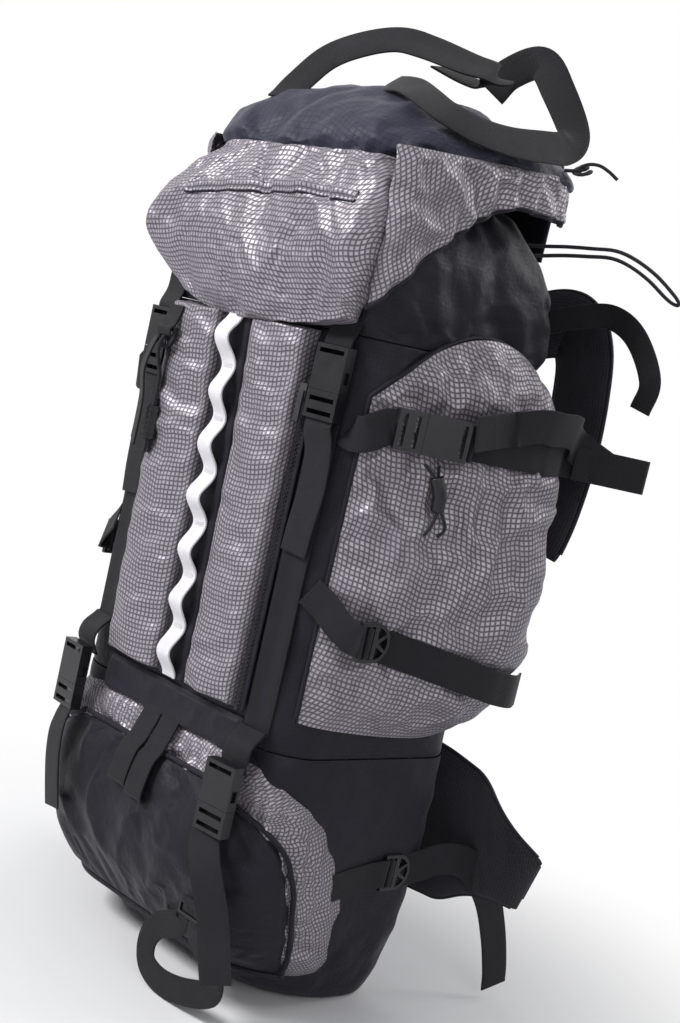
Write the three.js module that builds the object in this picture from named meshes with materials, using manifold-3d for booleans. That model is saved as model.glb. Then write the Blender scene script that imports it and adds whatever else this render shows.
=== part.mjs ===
// A large internal-frame trekking rucksack, standing upright on its flat base.
// Millimetres. +Z is up, the front panel faces -Y, the wearer's back is on +Y
// and the wearer's right side is +X. The origin is the middle of the flat base.

import * as THREE from 'three';
import { mergeVertices } from 'three/addons/utils/BufferGeometryUtils.js';
import Module from 'manifold-3d';

const wasm = await Module();
wasm.setup();

// Cloth, webbing and the room left between neighbouring pieces
const GAP = 0.3;
const BAG_WALL = 3;
const POCKET_EDGE = 1.5;
const WEBBING = 1.8;
const STRAP_WIDTH = 30;
const STRAP_STANDOFF = 0.8;
const OVERRUN = 5;

// The bag
const BAG_HALF_WIDTH = 156;
const BAG_FRONT = 122;
const BAG_BACK = 100;
const BAG_CORNER = 42;
const SEAM_HEIGHT = 243;
const BAG_TOP = 600;
const BASE_ROUND_HEIGHT = 150;
const BASE_ROUND_POWER = 1.6;
const BASE_FRONT_INSET = 84;
const BASE_SIDE_INSET = 26;
const BASE_BACK_INSET = 10;
const BASE_FRONT_CORNER = 88;

// The snow collar: height, half width, front, back and corner at its mouth
const COLLAR_HEIGHT = 148;
const COLLAR_WALL = 2.5;
const MOUTH_HALF_WIDTH = 72;
const MOUTH_FRONT = 34;
const MOUTH_BACK = 52;
const MOUTH_CORNER = 30;
const COLLAR_SIDE_BULGE = 4;
const COLLAR_BACK_BULGE = 9;
// rows: share of the height, share of the way from the bag's size to the mouth's, share of the bulge
const COLLAR_SHARES = [
  [0, 0, 0], [0.12, 0.01, 0.7], [0.3, 0.06, 1], [0.5, 0.14, 0.8], [0.68, 0.28, 0], [0.86, 0.58, 0], [1, 1, 0],
];

// The lid
const LID_HALF_WIDTH = 153;
const LID_FRONT = 130;
const LID_BACK = 96;
const LID_CORNER_RADIUS = 46;
const LID_FRONT_RADIUS = 90;
const LID_UNDERSIDE_HEIGHT = 745;
const FLAP_TOP_SHARE = 0.33;
const FLAP_JOINT_SHARE = 0.2;
const LID_THICKNESS = 58;
const LID_SIDE_DRAW_SHARE = 1.3;
const LID_PITCH_SHARE = 0.1;
const FLAP_HALF_WIDTH = 112;
const FLAP_WALL = 2.5;
const HINGE_HEIGHT = 702;
const RIDGE_HEIGHT = 12;
// rows: share of the thickness, share of the drawn-in width, drawn in from the edge
const LID_CROWN_SHARES = [[0, 0.03], [0.16, 0], [0.34, 0.07], [0.54, 0.2], [0.76, 0.42], [1, 0.82]];

// The lid's front pocket
const LID_POCKET_BOTTOM = 594;
const LID_POCKET_END_LIFT = 20;
const LID_POCKET_HALF_WIDTH = 152;
const LID_POCKET_FRONT = 160;
const LID_POCKET_CORNER = 22;
const LID_POCKET_TOP_BACK = 115;
const LID_POCKET_LEAN = 10;
// rows: share of the height, share of the half width, share of the depth
const LID_POCKET_SHARES = [
  [0, 0.9, 0.6], [0.07, 0.96, 0.86], [0.25, 0.99, 0.97], [0.45, 1, 1],
  [0.68, 0.99, 0.9], [0.88, 0.94, 0.68], [1, 0.84, 0.42],
];

// The lid's side wings
const WING_WALL = 2.5;
const WING_FLARE = 7;
const WING_TOP_SHARE = 0.16;
// how fast the hem rises from the front, and how the flare eases towards the top
const WING_RISE_SHARE = 1.5;
const WING_EASE_SHARE = 1.6;
const WING_FLARE_SHARE = 0.7;
const WING_FRONT = 129;
const WING_BACK = 76;
const WING_HEM_FRONT = 622;
const WING_HEM_BACK = 734;

// Front panels, the strip with the daisy chain and the two long zips
const PANEL_BOTTOM = 268;
const PANEL_TOP = 598;
const STRIP_HALF_WIDTH = 21;
const PANEL_OUTER_RUN = 88;
const PANEL_DEPTH = 13;
const PANEL_TOP_SWELL = 11;
const PANEL_CROWN = 5;
const STRIP_DEPTH = 9;
const CHAIN_WIDTH = 15;
const CHAIN_THICKNESS = 2;
const CHAIN_LOOPS = 7;
const CHAIN_LOOP_DEPTH = 10;
const CHAIN_STEPS = 6;
const ZIP_WIDTH = 13;
const ZIP_DEPTH = 8;
const ZIP_TOP = 556;
const SLIDER_WIDTH = 9;
const SLIDER_DEPTH = 5;
const SLIDER_LENGTH = 12;
const PULL_WIDTH = 6;
const PULL_THICKNESS = 1.6;
const PULL_LENGTH = 26;
const SLIDER_START = 4;

// Side pockets, seen from the side: runs are measured round the bag's wall
const POCKET_START_RUN = 150;
const POCKET_END_RUN = 352;
const POCKET_BOTTOM = 266;
const POCKET_PEAK = 622;
const POCKET_DEPTH = 66;
const POCKET_FRONT_DROP = 68;
const POCKET_BACK_DROP = 40;
const POCKET_FRONT_LIFT = 8;
const POCKET_BACK_LIFT = 24;
const POCKET_PEAK_SHARE = 0.59;
// rows: share of the way round or up, share of the depth
const POCKET_ROUND_SHARES = [
  [0, 0.02], [0.1, 0.1], [0.2, 0.24], [0.35, 0.52], [0.5, 0.76],
  [0.7, 0.95], [0.84, 1], [0.93, 0.82], [1, 0.05],
];
const POCKET_RISE_SHARES = [
  [0, 0.05], [0.07, 0.62], [0.18, 0.94], [0.35, 1], [0.6, 0.9], [0.8, 0.74], [0.93, 0.48], [1, 0.06],
];

// Straps round the side pockets
const UPPER_STRAP_HEIGHT = 534;
const UPPER_STRAP_START_RUN = 232;
const UPPER_STRAP_END_RUN = 335;
const UPPER_LOOP_REACH = 62;
const UPPER_LOOP_OUT = 45;
// rows: share of the loop's way out, share of its reach behind the pocket
const UPPER_LOOP_SHARES = [
  [0.4, 0.42], [0.85, 0.9], [0.97, 1], [1.02, 0.97], [0.96, 0.86], [0.52, 0.4], [0.2, 0.06],
];
const SIDE_BUCKLE_RUN = 183;
const SIDE_BUCKLE_GROW = 30;
const SIDE_BUCKLE_TURN = 0.98;
const LOWER_STRAP_FRONT_HEIGHT = 354;
const LOWER_STRAP_BACK_HEIGHT = 324;
const LOWER_STRAP_START_RUN = 192;
const LOWER_STRAP_END_RUN = 338;
const STRAP_OVER_POCKET = 2.3;
const STRAP_STEPS = 10;
const FRONT_SLACK_RUN = 140;
const FRONT_SLACK_BULGE = 12;
const FRONT_SLACK_SAG = 12;
// rows: share of the way to the bag's corner, of the bulge and of the sag
const FRONT_SLACK_SHARES = [
  [0, 0, 0], [0.14, 0.24, 0.04], [0.36, 0.7, 0.4], [0.58, 1, 0.8],
  [0.78, 0.85, 1], [0.93, 0.35, 1], [1, 0, 0.9],
];

// The webbing down the front, the lid buckles and the lower buckles
const FRONT_STRAP_RUN = 118;
const FRONT_STRAP_HOLD = 30;
const FRONT_STRAP_TUCK = 10;
const FRONT_STRAP_TOP = 585;
const LID_BUCKLE_HEIGHT = 550;
const LOWER_BUCKLE_HEIGHT = 192;
const LEFT_BUCKLE_LIFT = 34;

// Side-release buckles
const BUCKLE_WIDTH = 34;
const BUCKLE_THICKNESS = 11;
const BUCKLE_WALL = 2.6;
const SOCKET_LENGTH = 38;
const SOCKET_DEPTH = 24;
const PLUG_LENGTH = 24;
const PRONG_LENGTH = 21;
const PRONG_WIDTH = 6;
const GUIDE_WIDTH = 10;
const SLOT_WIDTH = 27;
const SLOT_HEIGHT = 3.8;
const SLOT_MARGIN = 3.5;
const WINDOW_START = 8;
const WINDOW_LENGTH = 10;

// Ladder locks with a round spoked end
const LOCK_WIDTH = 34;
const LOCK_THICKNESS = 4.5;
const LOCK_BAR = 3.2;
const LOCK_SLOT = 3.8;
const LOCK_RIM = 3;
const LOCK_HOLES = 3;
const SPOKE_SHARE = 0.09;
const HUB_SHARE = 0.26;
const LOCK_RUN = 182;
const LOCK_HEIGHT = 356;
const HIP_LOCK_RUN = 288;
const HIP_LOCK_HEIGHT = 135;

// The lower front pocket
const LOWER_TOP = 232;
const LOWER_BOTTOM = 34;
const BELLOWS_DEPTH = 10;
const BELLOWS_EDGE = 3;
// rows: share of the height from the bottom, run of the side edge as a share of the widest run
const BELLOWS_WIDEST_RUN = 240;
const BELLOWS_SHARES = [
  [0, 0.75], [0.06, 0.88], [0.26, 0.99], [0.5, 1], [0.71, 0.9], [0.81, 0.8], [0.88, 0.67], [1, 0.54],
];
const FACE_TOP = 203;
const FACE_BOTTOM = 40;
const FACE_WIDEST_RUN = 174;
const FACE_SHARES = [[0, 0.85], [0.08, 0.91], [0.25, 0.97], [0.54, 1], [0.74, 0.95], [0.89, 0.82], [1, 0.56]];
const FACE_DEPTH = 14;
const FACE_EDGE = 2;

// The tool loop at the middle of the lower pocket, and the ring with its webbing
const TOOL_LOOP_TOP = 254;
const TOOL_LOOP_BOTTOM = 164;
const TOOL_LOOP_WIDTH = 52;
const TOOL_LOOP_DEPTH = 10.5;
// rows: share of the depth off the pocket, share of the length from the top
const TOOL_LOOP_SHARES = [
  [0, 0], [0.1, 0.2], [0.6, 0.5], [0.9, 0.62], [1, 0.8], [1, 0.95],
  [0.75, 1], [0.25, 1], [0, 0.95], [0, 0.8], [0, 0.62],
];
const RING_RUN = 101;
const RING_HEIGHT = 80;
const RING_WIDTH = 34;
const RING_LENGTH = 17;
const RING_BAR = 3;
const RING_LOOP_DROP = 66;
const RING_LOOP_SPREAD = 46;
const RING_LOOP_WEBBING = 24;
const RING_LOOP_WIDTH_SHARES = [[0, 0.6], [0.14, 1], [0.86, 1], [1, 0.6]];
// rows: share of the spread, share of the drop
const RING_LOOP_SHARES = [
  [-0.2, 0], [-0.2, 0.08], [-0.36, 0.16], [-0.85, 0.34], [-1.06, 0.62], [-0.93, 0.9], [-0.4, 1],
  [0.37, 0.9], [1.02, 0.68], [0.88, 0.4], [0.38, 0.17], [0.2, 0.08], [0.2, 0],
];

// Left side: D-ring, elastic cord and its ribbed barrel
const D_RING_RUN = 80;
const D_RING_HEIGHT = 572;
const D_RING_WIDTH = 27;
const D_RING_BAR = 3.5;
const BARREL_LENGTH = 30;
const BARREL_RADIUS = 7.5;
const BARREL_RIB = 1;
const BARREL_BORE_WIDTH = 5;
const BARREL_BORE_DEPTH = 10;
const BARREL_RIBS = 6;
const BARREL_DROP = 103;
const BUNGEE_DIAMETER = 4;

// Back system
const SHEET_THICKNESS = 2;
const SHEET_HALF_WIDTH = 112;
const SHEET_BOTTOM = 42;
const SHEET_TOP = 592;
const SHEET_CORNER = 26;
const BACK_PAD_THICKNESS = 18;
const BACK_PAD_HALF_WIDTH = 118;
const BACK_PAD_BOTTOM = 62;
const BACK_PAD_TOP = 599;
const BACK_PAD_CORNER = 34;
const BACK_PAD_CHANNEL = 6;
const SHOULDER_WIDTH = 62;
const SHOULDER_THICKNESS = 13;
const SHOULDER_REACH = 104;
const SHOULDER_STANDOFF = 34;
const SHOULDER_ROOT_X = 52;
const SHOULDER_ROOT_HEIGHT = 598;
const SHOULDER_RISE = 60;
const SHOULDER_FALL = 205;
// rows: shares of the reach outward, of the standoff behind the pad and of rise (+) or fall (-)
const SHOULDER_SHARES = [
  [0, 0, 0], [0.14, 0.4, 0.5], [0.36, 0.75, 0.86], [0.62, 1, 0.93], [0.83, 0.95, 0.56],
  [0.95, 0.8, -0.04], [1, 0.7, -0.3], [0.99, 0.55, -0.56], [0.93, 0.4, -0.76],
];
const HIP_ROOT_X = 58;
const HIP_REACH = 172;
const HIP_CURVE = 26;
const HIP_HEIGHT = 168;
const HIP_ROOT_WIDTH = 146;
const HIP_DROP = 26;
// rows: share of the reach, share of the root's width
const HIP_WIDTH_SHARES = [[0, 1], [0.3, 1], [0.56, 0.92], [0.66, 0.68], [0.8, 0.5], [1, 0.38]];
const HIP_THICKNESS = 16;
const LIFTER_WIDTH = 22;
const LIFTER_X = 126;
const LIFTER_HEIGHT = 648;
const LIFTER_REACH = 122;
const LIFTER_RISE = 18;
const LIFTER_STANDOFF = 24;
// rows: shares of the reach outward, of the standoff and of the rise
const LIFTER_SHARES = [
  [0, 0, 0], [0.25, 0.5, 0.7], [0.5, 0.85, 1], [0.76, 0.85, 0.2], [1, 0.62, -1.7], [0.96, 0.72, -3.2],
];

// Loose webbing over the lid: shares of the lid's half width and half depth, and of a height above it
const ARCH_HEIGHT = 74;
const ARCH_SHARES = [
  [-0.39, -0.87, 0.072], [-0.41, -0.71, 0.19], [-0.35, -0.53, 0.44], [-0.18, -0.4, 0.6], [0.01, -0.27, 0.7],
  [0.2, -0.18, 0.64], [0.48, -0.09, 0.57], [0.64, 0, 0.58], [0.58, 0.08, 0.42], [0.41, 0.09, 0.36],
  [0.16, 0.07, 0.46],
];
const BAND_SHARES = [
  [0.12, -0.41, 0.124], [0.27, -0.5, 0.15], [0.44, -0.58, 0.16], [0.64, -0.69, 0.16], [0.84, -0.69, 0.17],
  [0.96, -0.5, 0.22], [1.02, -0.19, 0.26], [1.04, 0.13, 0.28], [1.04, 0.37, 0.32], [1, 0.5, 0.5],
  [0.79, 0.53, 0.65],
  [0.61, 0.53, 0.88], [0.41, 0.49, 0.7], [0.33, 0.44, 0.42],
];
// rows: share of the strap's length, then the way its face looks
const BAND_TURN_SHARES = [
  [0, 0.1, -0.75, 0.65], [0.2, 0.2, -0.55, 0.85], [0.36, 0.7, -0.4, 0.6], [0.55, 0.88, -0.05, 0.45],
  [0.68, 0.85, -0.4, 0.1], [0.8, 0.6, -0.75, 0], [1, 0.55, -0.8, 0.1],
];

// The drawcord of the collar: a doubled cord that leaves by the back right corner
const DRAWCORD_DIAMETER = 3.5;
const DRAWCORD_ROUTE = [
  [112.4, 71.1, 712], [124, 84, 715], [141, 97, 719], [158, 111, 722], [170, 130, 725], [177, 152, 722],
  [182, 180, 714], [185, 206, 703], [186, 217, 697], [183.5, 221.5, 694], [180.5, 216, 694.5],
  [178.5, 204, 698.5],
  [175, 180, 708.5], [170, 154, 716], [163, 134, 718.5], [151, 115, 715], [137, 101, 711.5], [125.5, 86, 707],
  [119.6, 75, 704],
];
const BUNGEE_ROUTE = [
  [-80, -145.8, 456], [-80, -145.8, 480], [-80, -145.8, 505], [-80, -145.8, 528], [-80, -146.6, 543],
  [-80, -148, 553], [-80, -149.2, 559], [-80, -152.4, 562], [-80, -156, 561], [-80, -158.6, 556],
  [-80, -158.8, 549], [-80, -156, 539], [-80, -151.6, 526], [-80, -150.8, 505], [-80, -150.8, 480],
  [-80, -150.8, 456],
];

// Colours
const GREY = 0x8f8a93;
const BLACK = 0x23232a;
const NAVY = 0x24242f;
const WHITE = 0xe9e6ea;
const PLASTIC = 0x1b1b1f;
const ALLOY = 0x9b9ba0;

// Placing and building

// A geometry from points and triangles, turned so that its faces look outward.
function faceOut(points, faces) {
  let volume = 0;
  const corner = (index) => new THREE.Vector3().fromArray(points, 3 * index);
  for (let i = 0; i < faces.length; i += 3) {
    volume += corner(faces[i]).dot(corner(faces[i + 1]).cross(corner(faces[i + 2])));
  }
  if (volume < 0) faces.reverse();
  const geometry = new THREE.BufferGeometry();
  geometry.setAttribute('position', new THREE.Float32BufferAttribute(points, 3));
  geometry.setIndex(faces);
  geometry.computeVertexNormals();
  return geometry;
}

// A closed slab between two grids of points, each given by shares along and up.
function slab(columns, rows, outer, inner) {
  const points = [];
  for (const side of [outer, inner]) {
    for (let row = 0; row <= rows; row++) {
      for (let column = 0; column <= columns; column++) points.push(...side(column / columns, row / rows));
    }
  }
  const wide = columns + 1;
  const back = wide * (rows + 1);
  const faces = [];
  const quad = (a, b, c, d) => faces.push(a, b, c, a, c, d);
  for (let row = 0; row < rows; row++) {
    for (let column = 0; column < columns; column++) {
      const a = row * wide + column;
      quad(a, a + 1, a + 1 + wide, a + wide);
      quad(back + a, back + a + wide, back + a + wide + 1, back + a + 1);
    }
  }
  for (let c = 0; c < columns; c++) {
    const t = rows * wide + c;
    quad(back + c, back + c + 1, c + 1, c);
    quad(t, t + 1, back + t + 1, back + t);
  }
  for (let row = 0; row < rows; row++) {
    const a = row * wide;
    const b = a + columns;
    quad(a, a + wide, back + a + wide, back + a);
    quad(b, back + b, back + b + wide, b + wide);
  }
  return faceOut(points, faces);
}

// A closed skin over rings of equal count, capped at both ends or joined last to first.
function skin(rings, joined = false) {
  const count = rings[0].length;
  const points = rings.flat(2);
  const faces = [];
  const spans = joined ? rings.length : rings.length - 1;
  for (let ring = 0; ring < spans; ring++) {
    const low = ring * count;
    const high = ((ring + 1) % rings.length) * count;
    for (let i = 0; i < count; i++) {
      const next = (i + 1) % count;
      faces.push(low + i, low + next, high + next, low + i, high + next, high + i);
    }
  }
  if (!joined) {
    for (const [ring, first] of [[0, true], [rings.length - 1, false]]) {
      const middle = points.length / 3;
      const sum = rings[ring].reduce((total, p) => total.map((v, k) => v + p[k] / count), [0, 0, 0]);
      points.push(...sum);
      for (let i = 0; i < count; i++) {
        const a = ring * count + i;
        const b = ring * count + (i + 1) % count;
        faces.push(...(first ? [middle, b, a] : [middle, a, b]));
      }
    }
  }
  return faceOut(points, faces);
}

// A rounded rectangle in plan. heightOf gives the height at each x and y.
function planRing(halfWidth, front, back, corner, heightOf, frontCorner = corner) {
  const steps = 5;
  const ring = [];
  const corners = [
    [halfWidth - corner, back - corner, corner], [corner - halfWidth, back - corner, corner],
    [frontCorner - halfWidth, frontCorner - front, frontCorner],
    [halfWidth - frontCorner, frontCorner - front, frontCorner],
  ];
  corners.forEach(([x, y, radius], quarter) => {
    for (let k = 0; k <= steps; k++) {
      const angle = (quarter + k / steps) * Math.PI / 2;
      const px = x + radius * Math.cos(angle);
      const py = y + radius * Math.sin(angle);
      ring.push([px, py, heightOf(px, py)]);
    }
  });
  return ring;
}

// The bag's size at a height: it is drawn in where its base is rounded.
function wallAt(height) {
  const share = Math.min(1, Math.max(0, height / BASE_ROUND_HEIGHT));
  const draw = 1 - (1 - (1 - share) ** BASE_ROUND_POWER) ** (1 / BASE_ROUND_POWER);
  return {
    halfWidth: BAG_HALF_WIDTH - draw * BASE_SIDE_INSET,
    front: BAG_FRONT - draw * BASE_FRONT_INSET,
    back: BAG_BACK - draw * BASE_BACK_INSET,
    frontCorner: BAG_CORNER + draw * (BASE_FRONT_CORNER - BAG_CORNER),
  };
}

// The point grow outside the bag's wall, run round it from the middle of the front.
function hug(run, grow, height) {
  const { halfWidth, front, back, frontCorner } = wallAt(height);
  const side = Math.sign(run) || 1;
  const frontFlat = halfWidth - frontCorner;
  const sideStart = frontFlat + frontCorner * Math.PI / 2;
  const sideEnd = sideStart + front + back - frontCorner - BAG_CORNER;
  const length = Math.abs(run);
  let x = length;
  let y = -front - grow;
  if (length > sideEnd) {
    const angle = (length - sideEnd) / BAG_CORNER;
    x = halfWidth - BAG_CORNER + (BAG_CORNER + grow) * Math.cos(angle);
    y = back - BAG_CORNER + (BAG_CORNER + grow) * Math.sin(angle);
  } else if (length > sideStart) {
    x = halfWidth + grow;
    y = frontCorner - front + length - sideStart;
  } else if (length > frontFlat) {
    const angle = (length - frontFlat) / frontCorner;
    x = frontFlat + (frontCorner + grow) * Math.sin(angle);
    y = frontCorner - front - (frontCorner + grow) * Math.cos(angle);
  }
  return [side * x, y, height];
}

// The wall's outward direction at a run.
function outward(run, height = SEAM_HEIGHT) {
  const near = new THREE.Vector3(...hug(run, 0, height));
  return new THREE.Vector3(...hug(run, STRAP_WIDTH, height)).sub(near).normalize();
}

// The value of a table of [share, value] rows between its rows.
function between(rows, share, column = 1) {
  let i = 1;
  while (i < rows.length - 1 && rows[i][0] < share) i++;
  const [low, high] = [rows[i - 1], rows[i]];
  const part = (share - low[0]) / (high[0] - low[0]);
  return low[column] + (high[column] - low[column]) * part;
}

// A strap along points. normals face out of its flat side; width and thickness may change along it.
function strap(points, normals, width, thickness, padded = false) {
  const places = points.map((p) => new THREE.Vector3(...p));
  const rings = places.map((place, i) => {
    const before = places[Math.max(0, i - 1)];
    const after = places[Math.min(places.length - 1, i + 1)];
    const along = after.clone().sub(before).normalize();
    const normal = (Array.isArray(normals) ? normals[i] : normals).clone();
    const across = along.clone().cross(normal).normalize();
    const out = across.clone().cross(along).normalize();
    const share = i / (places.length - 1);
    const half = (typeof width === 'function' ? width(share) : width) / 2;
    const thick = thickness / 2;
    const shape = padded
      ? [[-1, -0.4], [-0.8, -1], [0.8, -1], [1, -0.4], [1, 0.4], [0.8, 1], [-0.8, 1], [-1, 0.4]]
      : [[-1, -1], [1, -1], [1, 1], [-1, 1]];
    return shape.map(([a, o]) => place.clone()
      .addScaledVector(across, a * half)
      .addScaledVector(out, o * thick)
      .toArray());
  });
  return skin(rings);
}

// Smooth points along a route.
function smooth(route, steps) {
  const curve = new THREE.CatmullRomCurve3(route.map((p) => new THREE.Vector3(...p)));
  return curve.getPoints(steps).map((p) => p.toArray());
}

// A round cord along a route.
function cord(route, diameter, steps) {
  const curve = new THREE.CatmullRomCurve3(route.map((p) => new THREE.Vector3(...p)));
  const section = new THREE.Shape();
  for (let i = 0; i < 8; i++) {
    const angle = i * Math.PI / 4;
    const x = diameter / 2 * Math.cos(angle);
    const y = diameter / 2 * Math.sin(angle);
    if (i) section.lineTo(x, y);
    else section.moveTo(x, y);
  }
  section.closePath();
  return new THREE.ExtrudeGeometry(section, { steps, extrudePath: curve, bevelEnabled: false });
}

function toSolid(geometry) {
  const plain = geometry.clone();
  plain.deleteAttribute('normal');
  plain.deleteAttribute('uv');
  const merged = mergeVertices(plain);
  const vertProperties = new Float32Array(merged.attributes.position.array);
  const triVerts = new Uint32Array(merged.index.array);
  return new wasm.Manifold(new wasm.Mesh({ numProp: 3, vertProperties, triVerts }));
}

function toGeometry(solid) {
  const mesh = solid.getMesh();
  const geometry = new THREE.BufferGeometry();
  geometry.setAttribute('position', new THREE.Float32BufferAttribute(mesh.vertProperties, 3));
  geometry.setIndex(Array.from(mesh.triVerts));
  geometry.computeVertexNormals();
  return geometry;
}

// A block between two corners.
function block(low, high) {
  const size = high.map((v, i) => v - low[i]);
  const geometry = new THREE.BoxGeometry(...size);
  geometry.translate(...low.map((v, i) => v + size[i] / 2));
  return toSolid(geometry);
}

// Stands a geometry made with its length on Z and its face on -Y at a place on the pack.
function place(geometry, origin, out, along) {
  const back = out.clone().negate();
  const across = back.clone().cross(along);
  const matrix = new THREE.Matrix4().makeBasis(across, back, along);
  matrix.setPosition(...origin);
  return geometry.clone().applyMatrix4(matrix);
}

const pack = new THREE.Group();

function add(name, geometry, color, roughness, metalness = 0) {
  const material = new THREE.MeshStandardMaterial({ color, roughness, metalness });
  const mesh = new THREE.Mesh(geometry, material);
  mesh.name = name;
  pack.add(mesh);
}

const addCloth = (name, geometry, color) => add(name, geometry, color, 0.8);
const addPlastic = (name, geometry) => add(name, geometry, PLASTIC, 0.4);
const sides = [['left', -1], ['right', 1]];
const UP = new THREE.Vector3(0, 0, 1);
const BACKWARD = new THREE.Vector3(0, 1, 0);

// The bag: a cup below the seam and an open tube above it

function bagRing(height, grow) {
  const { halfWidth, front, back, frontCorner } = wallAt(height);
  return planRing(
    halfWidth + grow, front + grow, back + grow, BAG_CORNER + grow, () => height, frontCorner + grow,
  );
}

const BASE_STEPS = 6;
const baseRise = (step) => BASE_ROUND_HEIGHT * (step / BASE_STEPS) ** 2;

function lowerBag() {
  const outer = [];
  const inner = [];
  for (let k = 0; k <= BASE_STEPS; k++) {
    const floor = BAG_WALL * (1 - k / BASE_STEPS);
    outer.push(bagRing(baseRise(k), 0));
    inner.push(bagRing(baseRise(k), -BAG_WALL).map(([x, y, z]) => [x, y, z + floor]));
  }
  outer.push(bagRing(SEAM_HEIGHT, 0));
  inner.push(bagRing(SEAM_HEIGHT, -BAG_WALL));
  return skin([...outer, ...inner.reverse()]);
}

function upperBag() {
  const heights = [SEAM_HEIGHT + GAP, BAG_TOP];
  const outer = heights.map((height) => bagRing(height, 0));
  const inner = heights.map((height) => bagRing(height, -BAG_WALL));
  return skin([...outer, ...inner.reverse()], true);
}

function collarRing(share, part, bulge, inset) {
  const mix = (from, to) => from + (to - from) * part - inset;
  return planRing(
    mix(BAG_HALF_WIDTH, MOUTH_HALF_WIDTH) + bulge * COLLAR_SIDE_BULGE, mix(BAG_FRONT, MOUTH_FRONT),
    mix(BAG_BACK, MOUTH_BACK) + bulge * COLLAR_BACK_BULGE, mix(BAG_CORNER, MOUTH_CORNER),
    () => BAG_TOP + GAP + share * COLLAR_HEIGHT,
  );
}

// The collar carries a sewn ridge at its back, where the lid's flap is stitched on.
function snowCollar() {
  const outer = COLLAR_SHARES.map(([share, part, bulge]) => collarRing(share, part, bulge, 0));
  const inner = COLLAR_SHARES.map(([share, part, bulge]) => collarRing(share, part, bulge, COLLAR_WALL));
  const room = toSolid(skin([...inner]));
  const ridge = block(
    [-FLAP_HALF_WIDTH, MOUTH_BACK, HINGE_HEIGHT - GAP - RIDGE_HEIGHT],
    [FLAP_HALF_WIDTH, BAG_BACK - 2 * GAP, HINGE_HEIGHT - GAP],
  );
  return toGeometry(toSolid(skin([...outer, ...inner.reverse()], true)).add(ridge.subtract(room)));
}

function bagEnvelope() {
  const rings = [];
  for (let k = 0; k <= BASE_STEPS; k++) rings.push(bagRing(baseRise(k), GAP));
  rings.push(bagRing(BAG_TOP, GAP));
  rings.push(...COLLAR_SHARES.map(([share, part, bulge]) => collarRing(share, part, bulge, -GAP)));
  return toSolid(skin(rings));
}

const envelope = bagEnvelope();
const onBag = (geometry) => toGeometry(toSolid(geometry).subtract(envelope));

addCloth('lower_bag', lowerBag(), BLACK);
addCloth('upper_bag', upperBag(), BLACK);
addCloth('snow_collar', snowCollar(), BLACK);

// The lid: a pitched cushion with a rear flap that is its hinge, a front pocket and two side wings

const pitched = (height) => (x, y) => height + LID_PITCH_SHARE * (y + LID_FRONT);
const lidUnderside = pitched(LID_UNDERSIDE_HEIGHT);

function lidTop() {
  const rings = LID_CROWN_SHARES.map(([share, drawn]) => {
    const inset = drawn * LID_BACK;
    return planRing(
      LID_HALF_WIDTH - inset * LID_SIDE_DRAW_SHARE, LID_FRONT - inset, LID_BACK - inset,
      LID_CORNER_RADIUS * (1 - drawn), pitched(LID_UNDERSIDE_HEIGHT + share * LID_THICKNESS),
      LID_FRONT_RADIUS * (1 - drawn),
    );
  });
  const rear = lidUnderside(0, LID_BACK);
  const flapBack = BAG_BACK + FLAP_WALL / 2;
  const flap = block(
    [-FLAP_HALF_WIDTH, flapBack - FLAP_WALL, HINGE_HEIGHT],
    [FLAP_HALF_WIDTH, flapBack, rear + LID_THICKNESS * FLAP_TOP_SHARE],
  );
  const joint = block(
    [-FLAP_HALF_WIDTH, LID_BACK - LID_CORNER_RADIUS / 2, rear + LID_THICKNESS * FLAP_JOINT_SHARE],
    [FLAP_HALF_WIDTH, flapBack, rear + LID_THICKNESS * FLAP_TOP_SHARE],
  );
  return toGeometry(toSolid(skin(rings)).add(flap).add(joint));
}

// The height of the lid's top over a place, ignoring its rounded corners.
function lidCrown(x, y) {
  const fromSide = (LID_HALF_WIDTH - Math.abs(x)) / LID_SIDE_DRAW_SHARE;
  const inset = Math.min(fromSide, LID_FRONT + y, LID_BACK - y) / LID_BACK;
  const rows = LID_CROWN_SHARES.slice(1).map(([share, drawn]) => [drawn, share]);
  const share = between([...rows, [2, 1]], Math.max(0, inset));
  return pitched(LID_UNDERSIDE_HEIGHT + share * LID_THICKNESS)(x, y);
}

function lidFrontPocket() {
  const top = lidUnderside(0, -LID_FRONT) - GAP;
  const height = top - LID_POCKET_BOTTOM;
  const depth = LID_POCKET_FRONT - LID_POCKET_TOP_BACK;
  const rings = LID_POCKET_SHARES.map(([share, wide, deep]) => {
    const back = LID_POCKET_TOP_BACK + LID_POCKET_LEAN * (1 - share);
    const front = LID_POCKET_TOP_BACK + depth * deep;
    const corner = Math.min(LID_POCKET_CORNER, (front - back) / 2 - GAP);
    const lift = (x) => (1 - share) * LID_POCKET_END_LIFT * (x / LID_POCKET_HALF_WIDTH) ** 2;
    const halfWidth = wide * LID_POCKET_HALF_WIDTH;
    return planRing(halfWidth, front, -back, corner, (x) => LID_POCKET_BOTTOM + share * height + lift(x));
  });
  return skin(rings);
}

function lidWing(side) {
  const rows = 6;
  const point = (thick) => (u, v) => {
    const y = -WING_FRONT + u * (WING_FRONT + WING_BACK);
    const top = lidUnderside(0, y) + LID_THICKNESS * WING_TOP_SHARE;
    const ease = 1 - (1 - Math.min(1, u * WING_RISE_SHARE)) ** WING_EASE_SHARE;
    const hem = WING_HEM_FRONT + (WING_HEM_BACK - WING_HEM_FRONT) * ease;
    const x = LID_HALF_WIDTH + GAP + thick + WING_FLARE * (1 - v) ** WING_FLARE_SHARE;
    return [side * x, y, hem + (top - hem) * v];
  };
  return slab(10, rows, point(WING_WALL), point(0));
}

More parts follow.
